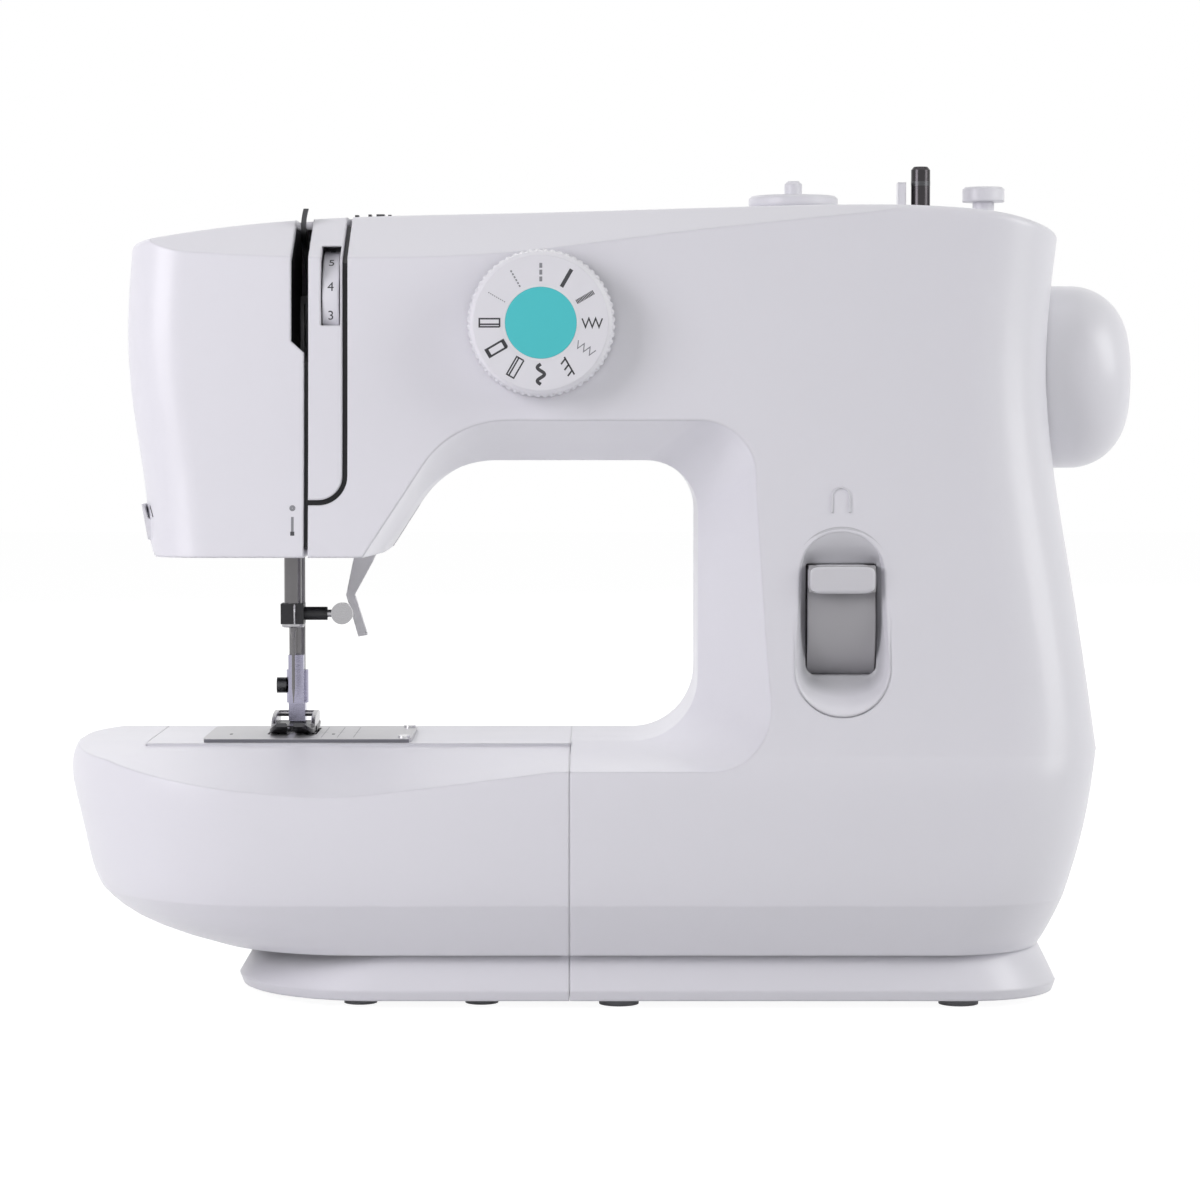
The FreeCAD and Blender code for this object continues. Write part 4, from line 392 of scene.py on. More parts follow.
holder_plate = ground_metal("holder_plate", (0.42, 0.41, 0.52), (0.36, 0.35, 0.45), 0.24)
dress(holder_plate, "foot_holder")
dark_steel = ground_metal("dark_steel", (0.10, 0.10, 0.105), (0.07, 0.07, 0.074), 0.30)
dress(dark_steel, "foot_screw")
# Painted light: the lifter's grey is lightened almost to white, to make up for the shadow of the head over it.
lifter_painted_light = moulded_plastic("lifter_painted_light", (0.90, 0.895, 0.91), (0.87, 0.865, 0.88), 0.36, 0.0005)
dress(lifter_painted_light, "presser_lifter")

# Presser foot: a blackened sole with turned-up toes and a needle slot, between two plated ears.
# A cross pin through the ears clips into the holder and lets the foot rock.
SOLE_LOW, SOLE_HIGH = 77.5, 79.1


def bar_along_y(y, x_inner, x_outer, z_low, z_high, cut):
    """A bar along Y: at each Y a rectangle between two X and two Z values, with its corners cut off at forty-five
    degrees."""
    y, x_inner, x_outer, z_low, z_high = np.broadcast_arrays(y, x_inner, x_outer, z_low, z_high)
    turn = np.sign(x_outer - x_inner) * cut
    x = np.stack([x_inner + turn, x_outer - turn, x_outer, x_outer,
                  x_outer - turn, x_inner + turn, x_inner, x_inner], axis=1)
    z = np.stack([z_low, z_low, z_low + cut, z_high - cut, z_high, z_high, z_high - cut, z_low + cut], axis=1)
    return np.stack([NEEDLE_X + x, np.broadcast_to(y[:, None], x.shape), z], axis=2)


toe_y = np.concatenate([np.linspace(-13.3, -2.02, 22), [-2.0, 0.0, 2.0]])
toe_inner = np.where(toe_y < -2.01, 1.0, 3.6)
toe_turn = np.clip((-6.5 - toe_y) / 6.8, 0.0, 1.0)
toe_outer = 6.9 - 2.6 * toe_turn ** 2
toe_low, toe_high = SOLE_LOW + 2.6 * toe_turn ** 2, SOLE_HIGH + 2.2 * toe_turn ** 2
heel_y = np.linspace(1.98, 16.8, 18)
heel_turn = np.clip((heel_y - 12.0) / 4.8, 0.0, 1.0)
sole = [bar_along_y(toe_y, side * toe_inner, side * toe_outer, toe_low, toe_high, 0.25) for side in (-1.0, 1.0)]
sole.append(bar_along_y(heel_y, -7.2, 7.2, SOLE_LOW + 0.9 * heel_turn ** 2, SOLE_HIGH + 0.5 * heel_turn ** 2, 0.25))
foot_sole = lofts("foot_sole", sole, dark_steel, "foot")
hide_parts("presser_foot")
ear_y = np.linspace(-1.9, 17.0, 26)
ear_rise = 3.9 * np.sqrt(np.clip(1.0 - ((ear_y - 10.5) / 12.6) ** 2, 0.0, 1.0))
ears = [bar_along_y(ear_y, side * 5.5, side * 6.9, SOLE_HIGH - 0.1, SOLE_HIGH + 0.3 + ear_rise, 0.2)
        for side in (-1.0, 1.0)]
PIN_Y, PIN_HALF, PIN_RADIUS = 15.0, 5.7, 1.0
pin_z = corners_of("presser_foot")[1][2] - 2.0
ears.append(turned([(-PIN_HALF, PIN_RADIUS), (PIN_HALF, PIN_RADIUS)], (NEEDLE_X, PIN_Y, pin_z), "x", 24))
lofts("foot_ears", ears, thumb_steel, "foot")

# Covers: the casing is moulded in three satin white shells with a faint lavender cast.
# They are screwed to the frame from behind, and meet along thin dark seams.
dress(casing_white, "face_cover", "front_cover", "rear_cover")


def facing_front(node, x_low, x_high, z_low, z_high):
    """The front of a node over a small patch, as a smooth fit: rays from the front meet it all along the patch's
    edge, and the best quadratic in X and Z through these gives Y anywhere on the patch, in millimetres."""
    x, z = (grid.ravel() for grid in np.meshgrid(np.linspace(x_low, x_high, 7), np.linspace(z_low, z_high, 7)))
    middle, half = (0.5 * (x_low + x_high), 0.5 * (z_low + z_high)), max(x_high - x_low, z_high - z_low)
    rim = (np.abs(x - middle[0]) > 0.48 * (x_high - x_low)) | (np.abs(z - middle[1]) > 0.48 * (z_high - z_low))
    x, z = x[rim], z[rim]
    bpy.context.view_layer.update()
    met = [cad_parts[node].ray_cast((a / 1000.0, -1.0, b / 1000.0), (0.0, 1.0, 0.0)) for a, b in zip(x, z)]
    kept = np.array([hit[0] for hit in met])
    y = np.array([hit[1][1] * 1000.0 for hit in met])

    def terms(a, b):
        """The six terms of the quadratic, about the patch's middle."""
        u, v = (a - middle[0]) / half, (b - middle[1]) / half
        return np.stack([np.ones_like(u), u, v, u * u, u * v, v * v], axis=-1)

    weights = np.linalg.lstsq(terms(x, z)[kept], y[kept], rcond=None)[0]
    return lambda a, b: terms(a, b) @ weights


def printed_front(node, x_low, x_high, z_low, z_high):
    """Flat points are X and Z on a patch of a node's front, and height is how far they stand out of it."""
    front = facing_front(node, x_low, x_high, z_low, z_high)

    def place(flat, height):
        """Flat points lifted out of the front, in millimetres."""
        return np.stack([flat[:, 0], front(flat[:, 0], flat[:, 1]) - height, flat[:, 1]], axis=1)

    return place


def arc(centre, radius, start, stop, count=24):
    """Points along an arc, with angles in degrees from the right, counter-clockwise."""
    angle = np.radians(np.linspace(start, stop, count))
    return np.stack([centre[0] + radius * np.cos(angle), centre[1] + radius * np.sin(angle)], axis=1)


thread_sign = [arc((-92.0, 149.4), 0.5, 0, 360, 33), [(-92.0, 146.8), (-92.0, 142.2)]]
sign_patch = printed_front("face_cover", -95.0, -90.0, 140.5, 151.0)
lofts("thread_sign", strokes(thread_sign, 0.8, sign_patch, (-0.3, 0.03)), print_grey, "machine")
sign_end = [[(-92.6, 141.8), (-91.4, 141.8)]]
lofts("thread_sign_end", strokes(sign_end, 1.2, sign_patch, (-0.3, 0.035)), line_paint, "machine")

# Thread cutter: a white guard that stands off the left of the head, with a slot behind it drawn as a black strip,
# painted shade for its dark inside.
# The thread is drawn up through the slot to be cut.
cutter_white = moulded_plastic("cutter_white", (0.70, 0.70, 0.73), (0.67, 0.67, 0.70), 0.38, 0.0005)
guard = np.array([(-138.6, 150.4), (-137.8, 150.3), (-136.6, 146.2),
                  (-135.0, 145.2), (-135.0, 139.2), (-136.7, 139.6)])
guard_depths = np.array([-42.5, -41.8, -27.0, -26.3])
guard_size = np.array([0.94, 1.0, 1.0, 0.94])
middle = guard.mean(axis=0)
outlines = middle + guard_size[:, None, None] * (guard - middle)
guard_y = np.broadcast_to(guard_depths[:, None], outlines.shape[:2])
guard_rings = np.stack([outlines[..., 0], guard_y, outlines[..., 1]], axis=2)
cutter_guard = lofts("cutter_guard", [guard_rings], cutter_white, "machine")
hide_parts("thread_cutter")
# The slot is a black strip laid on the face cover: painted shade for the inside of the slot.
slot_patch = printed_front("face_cover", -137.0, -134.0, 144.0, 151.5)
lofts("cutter_slot_shade", strokes([[(-136.7, 149.8), (-135.5, 146.2)]], 1.7, slot_patch, (-1.0, 0.15)),
      soft_black, "machine")

# Slot liner: a black strip behind the thread slots, painted shade so that the slots read dark inside.
# The take-up lever is blackened too, and only the hook at its tip comes out at the top.
# The slot liner's black is painted shade for the inside of the slots.
dress(soft_black, "slot_liner")
dress(dark_steel, "thread_guide")


def bent_strip(corners, half_start, half_end, x_shift, thickness, count=48):
    """A flat strip bent in the plane of Y and Z: a cubic curve through its end corners, drawn towards the two between, is
    widened to both sides by a half width that shrinks along it, and shifted sideways by a smooth step near its end."""
    t = np.linspace(0.0, 1.0, count)[:, None]
    a, b, c, d = np.asarray(corners, float)
    path = (1 - t) ** 3 * a + 3 * t * (1 - t) ** 2 * b + 3 * t * t * (1 - t) * c + t ** 3 * d
    run = np.gradient(path, axis=0)
    run = run / np.linalg.norm(run, axis=1, keepdims=True)
    side = np.stack([-run[:, 1], run[:, 0]], axis=1) * (half_start + (half_end - half_start) * np.sqrt(t))
    x = TAKE_UP_X + x_shift * np.clip((t[:, 0] - 0.8) / 0.2, 0.0, 1.0) ** 2
    near, far = path + side, path - side
    return np.stack([np.stack([x + way * 0.5 * thickness, edge[:, 0], edge[:, 1]], axis=1)
                     for way, edge in ((-1, near), (1, near), (1, far), (-1, far))], axis=1)


TAKE_UP_X = -90.2
hub = turned([(-0.8, 4.2), (-0.6, 4.5), (0.6, 4.5), (0.8, 4.2)], (TAKE_UP_X, 8.0, 214.0), "x")
hook = bent_strip([(8.0, 214.0), (-16.0, 226.0), (-31.5, 229.0), (-31.0, 239.8)], 4.2, 1.0, 0.9, 1.5)
take_up_hook = lofts("take_up_hook", [hub, hook], dark_steel, "take_up")
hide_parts("take_up_lever")
lamp_lens = clear_plastic("lamp_lens", (0.95, 0.95, 0.92), 0.30)
dress(lamp_lens, "lamp")

# Tension dial: a white thumb wheel that shows through a narrow window, with its numbers printed round the rim.
# It presses two polished steel discs together on the post behind it.
dress(casing_white, "tension_dial")
dress(chrome, "tension_discs")
TENSION_X, TENSION_Y, TENSION_Z, TENSION_R = -80.7, -33.0, 211.5, 15.3


def number_on_rim(text, turn, height):
    """A printed number: its flat outline is laid on the rim, with distance up the figure turned into angle round
    the axis."""
    curve = bpy.data.curves.new("figure", "FONT")
    curve.body, curve.size, curve.extrude = text, height * 1.38, 0.03
    curve.align_x, curve.align_y = "CENTER", "CENTER"
    holder = bpy.data.objects.new("figure", curve)
    bpy.context.scene.collection.objects.link(holder)
    bpy.context.view_layer.update()
    mesh = bpy.data.meshes.new_from_object(holder.evaluated_get(bpy.context.evaluated_depsgraph_get()))
    bpy.data.objects.remove(holder)
    bpy.data.curves.remove(curve)
    flat = np.empty(len(mesh.vertices) * 3)
    mesh.vertices.foreach_get("co", flat)
    flat = flat.reshape(-1, 3)
    angle = math.radians(turn) + flat[:, 1] / TENSION_R
    radius = TENSION_R + 0.01 + flat[:, 2]
    place = np.stack([TENSION_X + flat[:, 0], TENSION_Y - radius * np.cos(angle),
                      TENSION_Z + radius * np.sin(angle)], axis=1)
    mesh.vertices.foreach_set("co", (place / 1000.0).ravel())
    mesh.materials.clear()
    mesh.materials.append(figure_paint)
    piece = bpy.data.objects.new("figure_" + text, mesh)
    bpy.context.scene.collection.objects.link(piece)
    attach(piece, "tension")


figure_paint = moulded_plastic("figure_paint", (0.05, 0.05, 0.055), (0.035, 0.035, 0.04), 0.5, 0.0, 0.0)
SHOWN_FIGURE, SHOWN_TURN, FIGURE_STEP, FIGURE_HEIGHT = 4, 15.2, 32.6, 2.9
for figure in range(10):
    number_on_rim(str(figure), SHOWN_TURN + FIGURE_STEP * (figure - SHOWN_FIGURE), FIGURE_HEIGHT)

# Pattern dial: a white knob with ribs round its skirt and a teal disc in a thin pale ring.
# Twelve stitches are printed round the disc, and its shaft turns the cam stack inside the arm.
dress(casing_white, "pattern_cam")
DIAL_X, DIAL_Z, DIAL_FACE = -17.5, 204.5, -61.8


def ribbed_plastic(name, light, dark, roughness, count):
    """Moulded plastic as the casing's, with ribs round the dial's skirt: the angle about the dial's axis, times their
    number, goes through a sine, and the sine only bumps where the surface turns away from the front."""
    material = moulded_plastic(name, light, dark, roughness, 0.0006)
    tree = material.node_tree
    shader = tree.nodes["Principled BSDF"]
    place = tree.nodes.new("ShaderNodeTexCoord")
    parts = tree.nodes.new("ShaderNodeSeparateXYZ")
    tree.links.new(place.outputs["Object"], parts.inputs[0])

    def sums(operation, first, second=None):
        """One step of arithmetic between sockets or plain numbers."""
        node = tree.nodes.new("ShaderNodeMath")
        node.operation = operation
        for socket, value in zip(node.inputs, (first, second)):
            if isinstance(value, float):
                socket.default_value = value
            elif value is not None:
                tree.links.new(value, socket)
        return node.outputs[0]

    across = sums("SUBTRACT", parts.outputs[0], DIAL_X / 1000.0)
    up = sums("SUBTRACT", parts.outputs[2], DIAL_Z / 1000.0)
    wave = sums("SINE", sums("MULTIPLY", sums("ARCTAN2", up, across), float(count)))
    skirt = sums("GREATER_THAN", parts.outputs[1], (DIAL_FACE + 1.3) / 1000.0)
    ribs = relief(tree, sums("MULTIPLY", wave, skirt), 0.00016, 0.7, shader.inputs["Normal"].links[0].from_socket)
    tree.links.new(ribs, shader.inputs["Normal"])
    return material


dial_white = ribbed_plastic("dial_white", (0.760, 0.755, 0.790), (0.745, 0.740, 0.775), 0.36, 90)
dress(dial_white, "pattern_dial")
disc_teal = moulded_plastic("disc_teal", (0.075, 0.560, 0.590), (0.070, 0.535, 0.565), 0.42, 0.0, 0.0)
disc = [(DIAL_FACE + 0.3, 10.6), (DIAL_FACE - 0.10, 10.6), (DIAL_FACE - 0.22, 10.45), (DIAL_FACE - 0.24, 4.0)]
lofts("dial_disc", [turned(disc, (DIAL_X, 0.0, DIAL_Z), "y", 96)], disc_teal, "pattern")
ring_pale = moulded_plastic("ring_pale", (0.80, 0.80, 0.82), (0.77, 0.77, 0.79), 0.3, 0.0)
around = np.linspace(0.0, 2.0 * math.pi, 145)


def dial_flat(turn):
    """Flat points on the dial are steps clockwise and outwards from its middle, at a turn clockwise from the top."""
    sine, cosine = math.sin(math.radians(turn)), math.cos(math.radians(turn))

    def place(flat, height):
        """Flat points turned into place and lifted off the dial's face."""
        x = DIAL_X + flat[:, 1] * sine + flat[:, 0] * cosine
        z = DIAL_Z + flat[:, 1] * cosine - flat[:, 0] * sine
        return np.stack([x, np.full(len(flat), DIAL_FACE - height), z], axis=1)

    return place


ring = np.stack([11.0 * np.sin(around), 11.0 * np.cos(around)], axis=1)
lofts("dial_ring", strokes([ring], 0.55, dial_flat(0.0), (-0.3, 0.12)), ring_pale, "pattern")
IN, OUT = 12.2, 18.2


def dashes(count, share=0.62):
    """Even dashes from the inner to the outer end of a stitch mark."""
    pitch = (OUT - IN) / count
    return [[(0.0, IN + pitch * i), (0.0, IN + pitch * (i + share))] for i in range(count)]


def zigzag(half, count):
    """A line that goes from side to side over the mark's length."""
    out = np.linspace(IN, OUT, 2 * count + 1)
    return np.stack([half * (2.0 * (np.arange(2 * count + 1) % 2) - 1.0), out], axis=1)


def wave(half, count):
    """A sine along the mark's length."""
    out = np.linspace(IN, OUT, 60)
    return np.stack([half * np.sin(2.0 * math.pi * count * (out - IN) / (OUT - IN)), out], axis=1)


def comb(half):
    """A spine with three slanting teeth."""
    return [[(-half, IN), (-half, OUT)]] + [[(-half, IN + 0.6 + 2.0 * i), (half, IN + 1.4 + 2.0 * i)] for i in range(3)]


def frame_of(half):
    """A long narrow box."""
    return [[(-half, IN), (-half, OUT), (half, OUT), (half, IN), (-half, IN + 0.001)]]


end_bars = [[(-1.2, IN + 0.5), (1.2, IN + 0.5)], [(-1.2, OUT - 0.5), (1.2, OUT - 0.5)]]
stitches = [(0, dashes(3, 0.72), 0.85, False), (30, [[(0, IN), (0, OUT)]], 1.15, True),
            (60, dashes(14, 0.66), 1.35, True), (90, [zigzag(1.3, 3)], 0.42, True),
            (120, [zigzag(1.1, 3)], 0.30, False), (150, comb(0.95), 0.50, True), (180, [wave(1.05, 1.5)], 1.0, True),
            (210, frame_of(1.2) + [[(0.45, IN), (0.45, OUT)]], 0.45, True), (240, frame_of(1.2) + end_bars, 0.60, True),
            (270, frame_of(1.2) + [[(-0.45, IN), (-0.45, OUT)]], 0.48, True), (300, dashes(9), 0.28, False),
            (330, dashes(6), 0.48, False)]
for turn, paths, width, strong in stitches:
    paint, paint_slot = (figure_paint, "black") if strong else (print_grey, "grey")
    lofts(f"stitch_{turn}", strokes(paths, width, dial_flat(turn), (-0.2, 0.025)), paint, "pattern")

# Reverse lever: a drum behind a window in a shallow dish, with a bar across it to press, all moulded in white.
# The drum's grey, the bar's paler grey and the dish's darker floor are painted shade of the recess. A small arch is
# raised on the casing above it.
# The drum's grey is painted shade: the lever is white plastic, darkened for the recess it sits in.
lever_painted_shade = moulded_plastic("lever_painted_shade", (0.36, 0.355, 0.37), (0.34, 0.335, 0.35), 0.38, 0.0008)
dress(lever_painted_shade, "reverse_lever")
LEVER_X, LEVER_Z = 72.3, 116.0


def pillow(x_low, x_high, y_front, y_back, z_low, z_high, steps=40):
    """A soft bar: rings from back to front are rounded rectangles, a superellipse of the sixth power, and shrink
    near the front by a quarter circle so that the edge rolls over."""
    angle = np.linspace(0.0, 2.0 * math.pi, 4 * steps, endpoint=False)
    wide = np.sign(np.cos(angle)) * np.abs(np.cos(angle)) ** (1.0 / 3.0)
    tall = np.sign(np.sin(angle)) * np.abs(np.sin(angle)) ** (1.0 / 3.0)
    roll = np.radians(np.linspace(0.0, 90.0, 9))
    edge = 1.3
    y = np.concatenate([[y_back], y_front + edge - edge * np.sin(roll)])
    inset = np.concatenate([[0.0], edge - edge * np.cos(roll)])
    half_x, half_z = 0.5 * (x_high - x_low) - inset, 0.5 * (z_high - z_low) - inset
    x = 0.5 * (x_low + x_high) + half_x[:, None] * wide
    z = 0.5 * (z_low + z_high) + half_z[:, None] * tall
    return np.stack([x, np.broadcast_to(y[:, None], x.shape), z], axis=2)


# The bar's paler grey is painted shade of the recess, laid on white plastic.
bar_painted_shade = moulded_plastic("bar_painted_shade", (0.64, 0.635, 0.665), (0.62, 0.615, 0.645), 0.36, 0.0005)
lofts("lever_bar", [pillow(62.25, 82.35, -58.9, -50.0, 124.0, 132.5)], bar_painted_shade, "reverse")


def box_outline(half_x, half_z, low_corner, high_corner, turn):
    """A box with rounded corners, read off at given turns from its middle: its corner arcs and sides as dense points are
    put in order of their angle, and the distance out is read between them."""
    corners = [(half_x - low_corner, low_corner - half_z, low_corner, -90.0),
               (half_x - high_corner, half_z - high_corner, high_corner, 0.0),
               (high_corner - half_x, half_z - high_corner, high_corner, 90.0),
               (low_corner - half_x, low_corner - half_z, low_corner, 180.0)]
    arcs = [arc((x, z), radius, start, start + 90.0, 40) for x, z, radius, start in corners]
    sides = [a[-1] + np.linspace(0.0, 1.0, 60)[1:-1, None] * (b[0] - a[-1]) for a, b in zip(arcs, arcs[1:] + arcs[:1])]
    dense = np.concatenate(arcs + sides)
    angle = np.arctan2(dense[:, 1], dense[:, 0])
    order = np.argsort(angle)
    reach = np.interp(turn, angle[order], np.hypot(dense[:, 0], dense[:, 1])[order], period=2.0 * math.pi)
    return np.stack([reach * np.cos(turn), reach * np.sin(turn)], axis=1)


bearings = np.linspace(-math.pi, math.pi, 240, endpoint=False)
outer = box_outline(14.5, 28.2, 14.45, 14.45, bearings) + (0.0, -0.3)
inner = box_outline(10.6, 16.75, 3.2, 0.5, bearings)
part_way = np.linspace(0.0, 1.0, 16)
flats = (1.0 - part_way)[:, None, None] * outer + part_way[:, None, None] * inner + (LEVER_X, LEVER_Z)
cover_front = facing_front("front_cover", LEVER_X - 19.0, LEVER_X + 19.0, LEVER_Z - 33.0, LEVER_Z + 33.0)
fall = (part_way ** 2 * (3.0 - 2.0 * part_way))[:, None]
DISH_FLOOR = -51.7
depth = (1.0 - fall) * (cover_front(flats[..., 0], flats[..., 1]) - 0.03) + fall * DISH_FLOOR
dish = np.stack([flats[..., 0], depth, flats[..., 1]], axis=2)
behind = np.stack([dish[-1] + (0.0, 0.5, 0.0), dish[0] * (1.0, 0.0, 1.0) + (0.0, -50.6, 0.0)])


def dished_plastic(name, light, dark, floor_painted_shade, y_rim, y_floor):
    """Moulded plastic as the casing's, with painted shade: its colour goes over to a deeper shade from the rim of a
    dish to its floor, standing in for the shadow inside the recess.
    """
    material = moulded_plastic(name, light, dark, 0.36, 0.0012)
    tree = material.node_tree
    colour = tree.nodes["Principled BSDF"].inputs["Base Color"]
    place = tree.nodes.new("ShaderNodeTexCoord")
    parts = tree.nodes.new("ShaderNodeSeparateXYZ")
    tree.links.new(place.outputs["Object"], parts.inputs[0])
    deep = tree.nodes.new("ShaderNodeMapRange")
    deep.inputs["From Min"].default_value = y_rim / 1000.0
    deep.inputs["From Max"].default_value = y_floor / 1000.0
    tree.links.new(parts.outputs[1], deep.inputs["Value"])
    blend = tree.nodes.new("ShaderNodeMix")
    blend.data_type = "RGBA"
    blend.inputs[7].default_value = (*floor_painted_shade, 1.0)
    tree.links.new(deep.outputs["Result"], blend.inputs[0])
    tree.links.new(colour.links[0].from_socket, blend.inputs[6])
    tree.links.new(blend.outputs[2], colour)
    return material


# The inside of the dish darkens towards its floor: painted shade for the recess.
dish_rim = dish[0, :, 1].mean()
dish_painted_shade = dished_plastic("dish_painted_shade", (0.745, 0.740, 0.780), (0.728, 0.723, 0.765), (0.50, 0.50, 0.525),
                            dish_rim + 0.6, DISH_FLOOR - 0.5)
lofts("lever_dish", [np.concatenate([dish, behind, dish[:1]])], dish_painted_shade, "machine")
arch = np.concatenate([[(69.5, 148.0), (69.5, 152.4)], arc((72.15, 152.9), 2.65, 180, 0, 24),
                       [(74.8, 152.4), (74.8, 148.0)]])
arch_patch = printed_front("front_cover", 67.5, 77.0, 146.5, 157.0)
lofts("lever_arch", strokes([arch], 0.7, arch_patch, (-0.5, 0.32)), casing_white, "machine")

# Handwheel: a white moulded cup on the end of the upper shaft, smooth to the hand.
# Turning it by hand moves the needle, the hook and the feed together.
dress(casing_white, "handwheel")

# Spool pin, bobbin winder and stop stand on top of the casing.
# The seat, pin and stop are white mouldings, and the spindle is plated with a spring band let into it; its near-black
# colour is painted reflection of dark surroundings.
dress(casing_white, "spool_seat", "spool_pin", "winder_stop")
# Painted reflection: the plated spindle is given a near-black colour, standing in for the dark surroundings it mirrors.
spindle_painted_dark = ground_metal("spindle_painted_dark", (0.060, 0.056, 0.060), (0.048, 0.045, 0.048), 0.20)
dress(spindle_painted_dark, "winder_spindle")
SPINDLE_X, SPINDLE_Y = 100.8, 6.0
spindle_top = corners_of("winder_spindle")[1][2]
band = [(spindle_top - 6.0, 2.9), (spindle_top - 6.0, 3.02), (spindle_top - 4.6, 3.04), (spindle_top - 4.6, 2.9)]
lofts("spindle_band", [turned(band, (SPINDLE_X, SPINDLE_Y, 0.0), "z")], dark_steel, "winder_spindle")

# Power panel: a black moulding let into the right end, with a socket for the lead and a rocker switch.
# The rocker carries a printed bar for on and a ring for off.
panel_black = moulded_plastic("panel_black", (0.022, 0.022, 0.024), (0.015, 0.015, 0.017), 0.42, 0.0005, 0.0)
dress(panel_black, "power_panel", "switch_rocker")
rocker_y, rocker_z = corners_of("switch_rocker").mean(axis=0)[1:]


def on_rocker(flat, height):
    """Flat points are Y and Z on the face of the rocker, where rays from the right meet it, and height is how far
    they stand out."""
    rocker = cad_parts["switch_rocker"]
    met = [rocker.ray_cast((1.0, y / 1000.0, z / 1000.0), (-1.0, 0.0, 0.0)) for y, z in flat]
    return np.stack([np.array([hit[1][0] * 1000.0 for hit in met]) + height, flat[:, 0], flat[:, 1]], axis=1)


on_bar = np.stack([np.full(9, rocker_y), rocker_z + np.linspace(2.2, 5.2, 9)], axis=1)
rocker_marks = [on_bar, arc((rocker_y, rocker_z - 3.7), 1.4, 0, 360, 49)]
mark_white = moulded_plastic("mark_white", (0.70, 0.70, 0.71), (0.66, 0.66, 0.67), 0.5, 0.0, 0.0)
lofts("rocker_marks", strokes(rocker_marks, 0.5, on_rocker, (-0.2, 0.03)), mark_white, "switch")

# Accessory tray: a white hollow moulding that slides on over the free arm from the left, on two rubber feet.
# A thin lip fills the joint with the machine, just below the surface.
dress(casing_white, "accessory_tray")
dress(foot_rubber, "tray_feet")
ARM_LEFT, ARM_FRONT, BED_Z, TRAY_SEAM, JOINT = -140.0, -24.0, 76.0, -9.0, 0.15


def square_run(start, stop, half, drop):
    """A thin square-edged strip from one point to another on the bed, as deep as drop under the surface."""
    start, stop = np.array(start), np.array(stop)
    along = (stop - start) / np.linalg.norm(stop - start)
    side = np.array([-along[1], along[0]]) * half
    ends = np.stack([start, stop])[:, None] + np.stack([side, side, -side, -side])
    heights = np.broadcast_to(np.array([drop[0], drop[1], drop[1], drop[0]]), (2, 4))
    return np.concatenate([ends, BED_Z + heights[..., None]], axis=2)


bpy.context.view_layer.update()
seam_z = np.linspace(4.0, 74.0, 71)
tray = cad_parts["accessory_tray"]
seam_hits = [tray.ray_cast(((TRAY_SEAM - 0.6) / 1000.0, -1.0, z / 1000.0), (0.0, 1.0, 0.0)) for z in seam_z]
seam_y = np.array([hit[1][1] * 1000.0 for hit in seam_hits])
seam_x = TRAY_SEAM - JOINT + np.array([-0.05, JOINT - 0.02, JOINT - 0.02, -0.05])
seam_depth = seam_y[:, None] + np.array([0.10, 0.10, 1.6, 1.6])
front_lip = np.stack([np.broadcast_to(seam_x, seam_depth.shape), seam_depth,
                      np.broadcast_to(seam_z[:, None], seam_depth.shape)], axis=2)
LIP_HALF, LIP_DROP, LIP_BACK = 0.06, (-1.5, -0.01), 35.5
lip_y, lip_x = ARM_FRONT - 0.5 * JOINT - 0.01, ARM_LEFT - 0.5 * JOINT - 0.01
arm_lips = [square_run((ARM_LEFT - JOINT, lip_y), (TRAY_SEAM - JOINT, lip_y), LIP_HALF, LIP_DROP),
            square_run((lip_x, ARM_FRONT - JOINT), (lip_x, LIP_BACK), LIP_HALF, LIP_DROP)]
lofts("tray_lip", [front_lip] + arm_lips, casing_white, "tray")

# Studio: a pale floor and an even white surround, as for a catalogue picture.
# A softbox stands on each side, one hangs above, and one behind lights the bed and the floor.
floor_mesh = bpy.data.meshes.new("floor")
floor_mesh.from_pydata([(-4, -4, 0), (4, -4, 0), (4, 4, 0), (-4, 4, 0)], [], [(0, 1, 2, 3)])
floor = bpy.data.objects.new("floor", floor_mesh)
bpy.context.scene.collection.objects.link(floor)
floor_white = bpy.data.materials.new("floor_white")
floor_white.use_nodes = True
floor_tree = floor_white.node_tree
floor_tree.nodes.remove(floor_tree.nodes["Principled BSDF"])


def seen_directly(tree):
    """One where a ray comes from the camera, a mirror or glass, and nought where it only carries light."""
    path = tree.nodes.new("ShaderNodeLightPath")
    total = path.outputs["Is Camera Ray"]
    for kind in ("Is Glossy Ray", "Is Transmission Ray"):
        either = tree.nodes.new("ShaderNodeMath")
        either.operation = "MAXIMUM"
        tree.links.new(total, either.inputs[0])
        tree.links.new(path.outputs[kind], either.inputs[1])
        total = either.outputs[0]
    return total


pale = floor_tree.nodes.new("ShaderNodeBsdfDiffuse")
pale.inputs["Color"].default_value = (0.80, 0.80, 0.81, 1.0)
shade = floor_tree.nodes.new("ShaderNodeBsdfDiffuse")
shade.inputs["Color"].default_value = (0.22, 0.22, 0.22, 1.0)
glow = floor_tree.nodes.new("ShaderNodeEmission")
glow.inputs["Strength"].default_value = 0.93
backdrop = floor_tree.nodes.new("ShaderNodeAddShader")
floor_tree.links.new(shade.outputs[0], backdrop.inputs[0])
floor_tree.links.new(glow.outputs[0], backdrop.inputs[1])
floor_switch = floor_tree.nodes.new("ShaderNodeMixShader")
floor_tree.links.new(seen_directly(floor_tree), floor_switch.inputs[0])
floor_tree.links.new(pale.outputs[0], floor_switch.inputs[1])
floor_tree.links.new(backdrop.outputs[0], floor_switch.inputs[2])
floor_tree.links.new(floor_switch.outputs[0], floor_tree.nodes["Material Output"].inputs["Surface"])
floor_mesh.materials.append(floor_white)

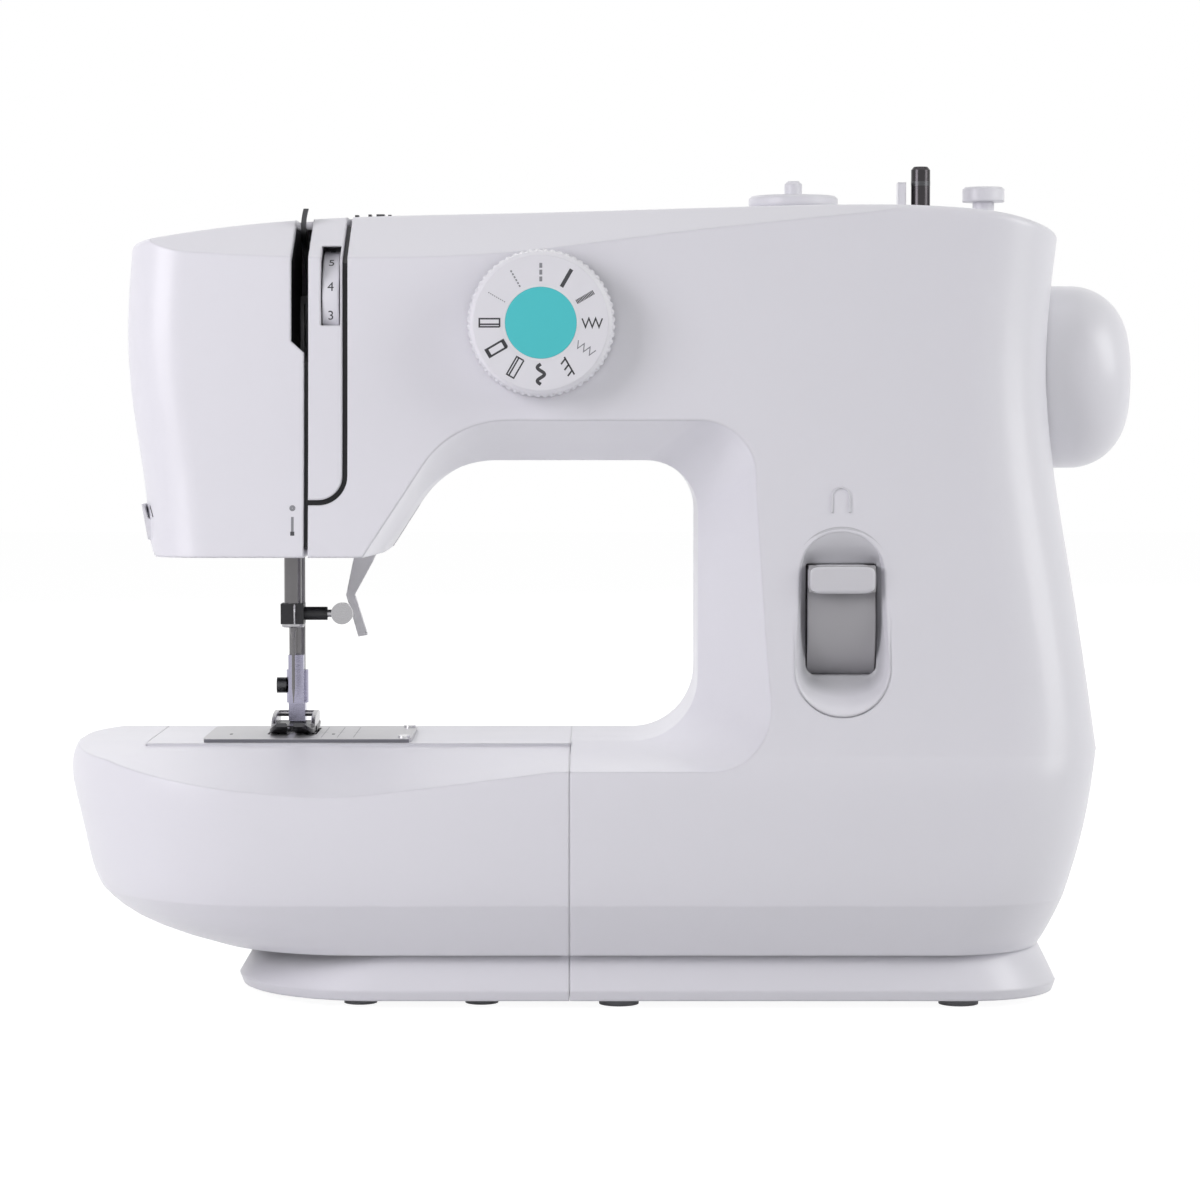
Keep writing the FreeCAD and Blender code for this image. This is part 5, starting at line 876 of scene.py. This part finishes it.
world = bpy.data.worlds.new("studio")
bpy.context.scene.world = world
world.use_nodes = True
world_tree = world.node_tree
surround = world_tree.nodes["Background"]
surround.inputs["Color"].default_value = (1.0, 1.0, 1.0, 1.0)
surround.inputs["Strength"].default_value = 0.28
white = world_tree.nodes.new("ShaderNodeBackground")
white.inputs["Color"].default_value = (1.0, 1.0, 1.0, 1.0)
white.inputs["Strength"].default_value = 1.0
world_switch = world_tree.nodes.new("ShaderNodeMixShader")
world_tree.links.new(seen_directly(world_tree), world_switch.inputs[0])
world_tree.links.new(surround.outputs[0], world_switch.inputs[1])
world_tree.links.new(white.outputs[0], world_switch.inputs[2])
world_tree.links.new(world_switch.outputs[0], world_tree.nodes["World Output"].inputs["Surface"])


def softbox(name, at, towards, size, watts, colour=(1.0, 1.0, 1.0), mirrored=True):
    """A soft rectangle of light, turned so that it faces a point, and left out of reflections where it is not
    mirrored."""
    lamp = bpy.data.lights.new(name, "AREA")
    lamp.energy = watts
    lamp.color = colour
    lamp.shape = "RECTANGLE"
    lamp.size, lamp.size_y = size
    holder = bpy.data.objects.new(name, lamp)
    bpy.context.scene.collection.objects.link(holder)
    aim = np.array(towards) - np.array(at)
    aim = aim / np.linalg.norm(aim)
    holder.visible_glossy = mirrored
    holder.location = at
    holder.rotation_euler = (math.acos(-aim[2]), 0.0, math.atan2(aim[0], -aim[1]) + math.pi)


softbox("left_box", (-0.55, -0.46, 0.40), (-0.08, 0, 0.12), (0.4, 0.4), 2.75, (0.975, 0.95, 1.0))
softbox("right_box", (1.00, -0.36, 0.62), (0.05, 0, 0.12), (0.6, 0.8), 5.8)
softbox("top_box", (0.0, 0.0, 1.6), (0, 0, 0.1), (1.6, 1.0), 2.6)
softbox("back_box", (-0.5, 1.4, 1.1), (0, 0, 0.1), (1.8, 0.8), 20.0, mirrored=False)

# Camera: a long lens straight in front, at the height of the opening under the arm.
# It looks down a little, so that the top of the bed shows.
lens = bpy.data.cameras.new("lens")
lens.lens, lens.sensor_width = 105.0, 36.0
camera = bpy.data.objects.new("camera", lens)
camera.location = (0.0, -1.1, 0.179)
camera.rotation_euler = (math.radians(90.0) - math.atan2(0.060, 1.1), 0.0, 0.0)
bpy.context.scene.collection.objects.link(camera)
bpy.context.scene.camera = camera
bpy.context.scene.view_settings.view_transform = "Standard"
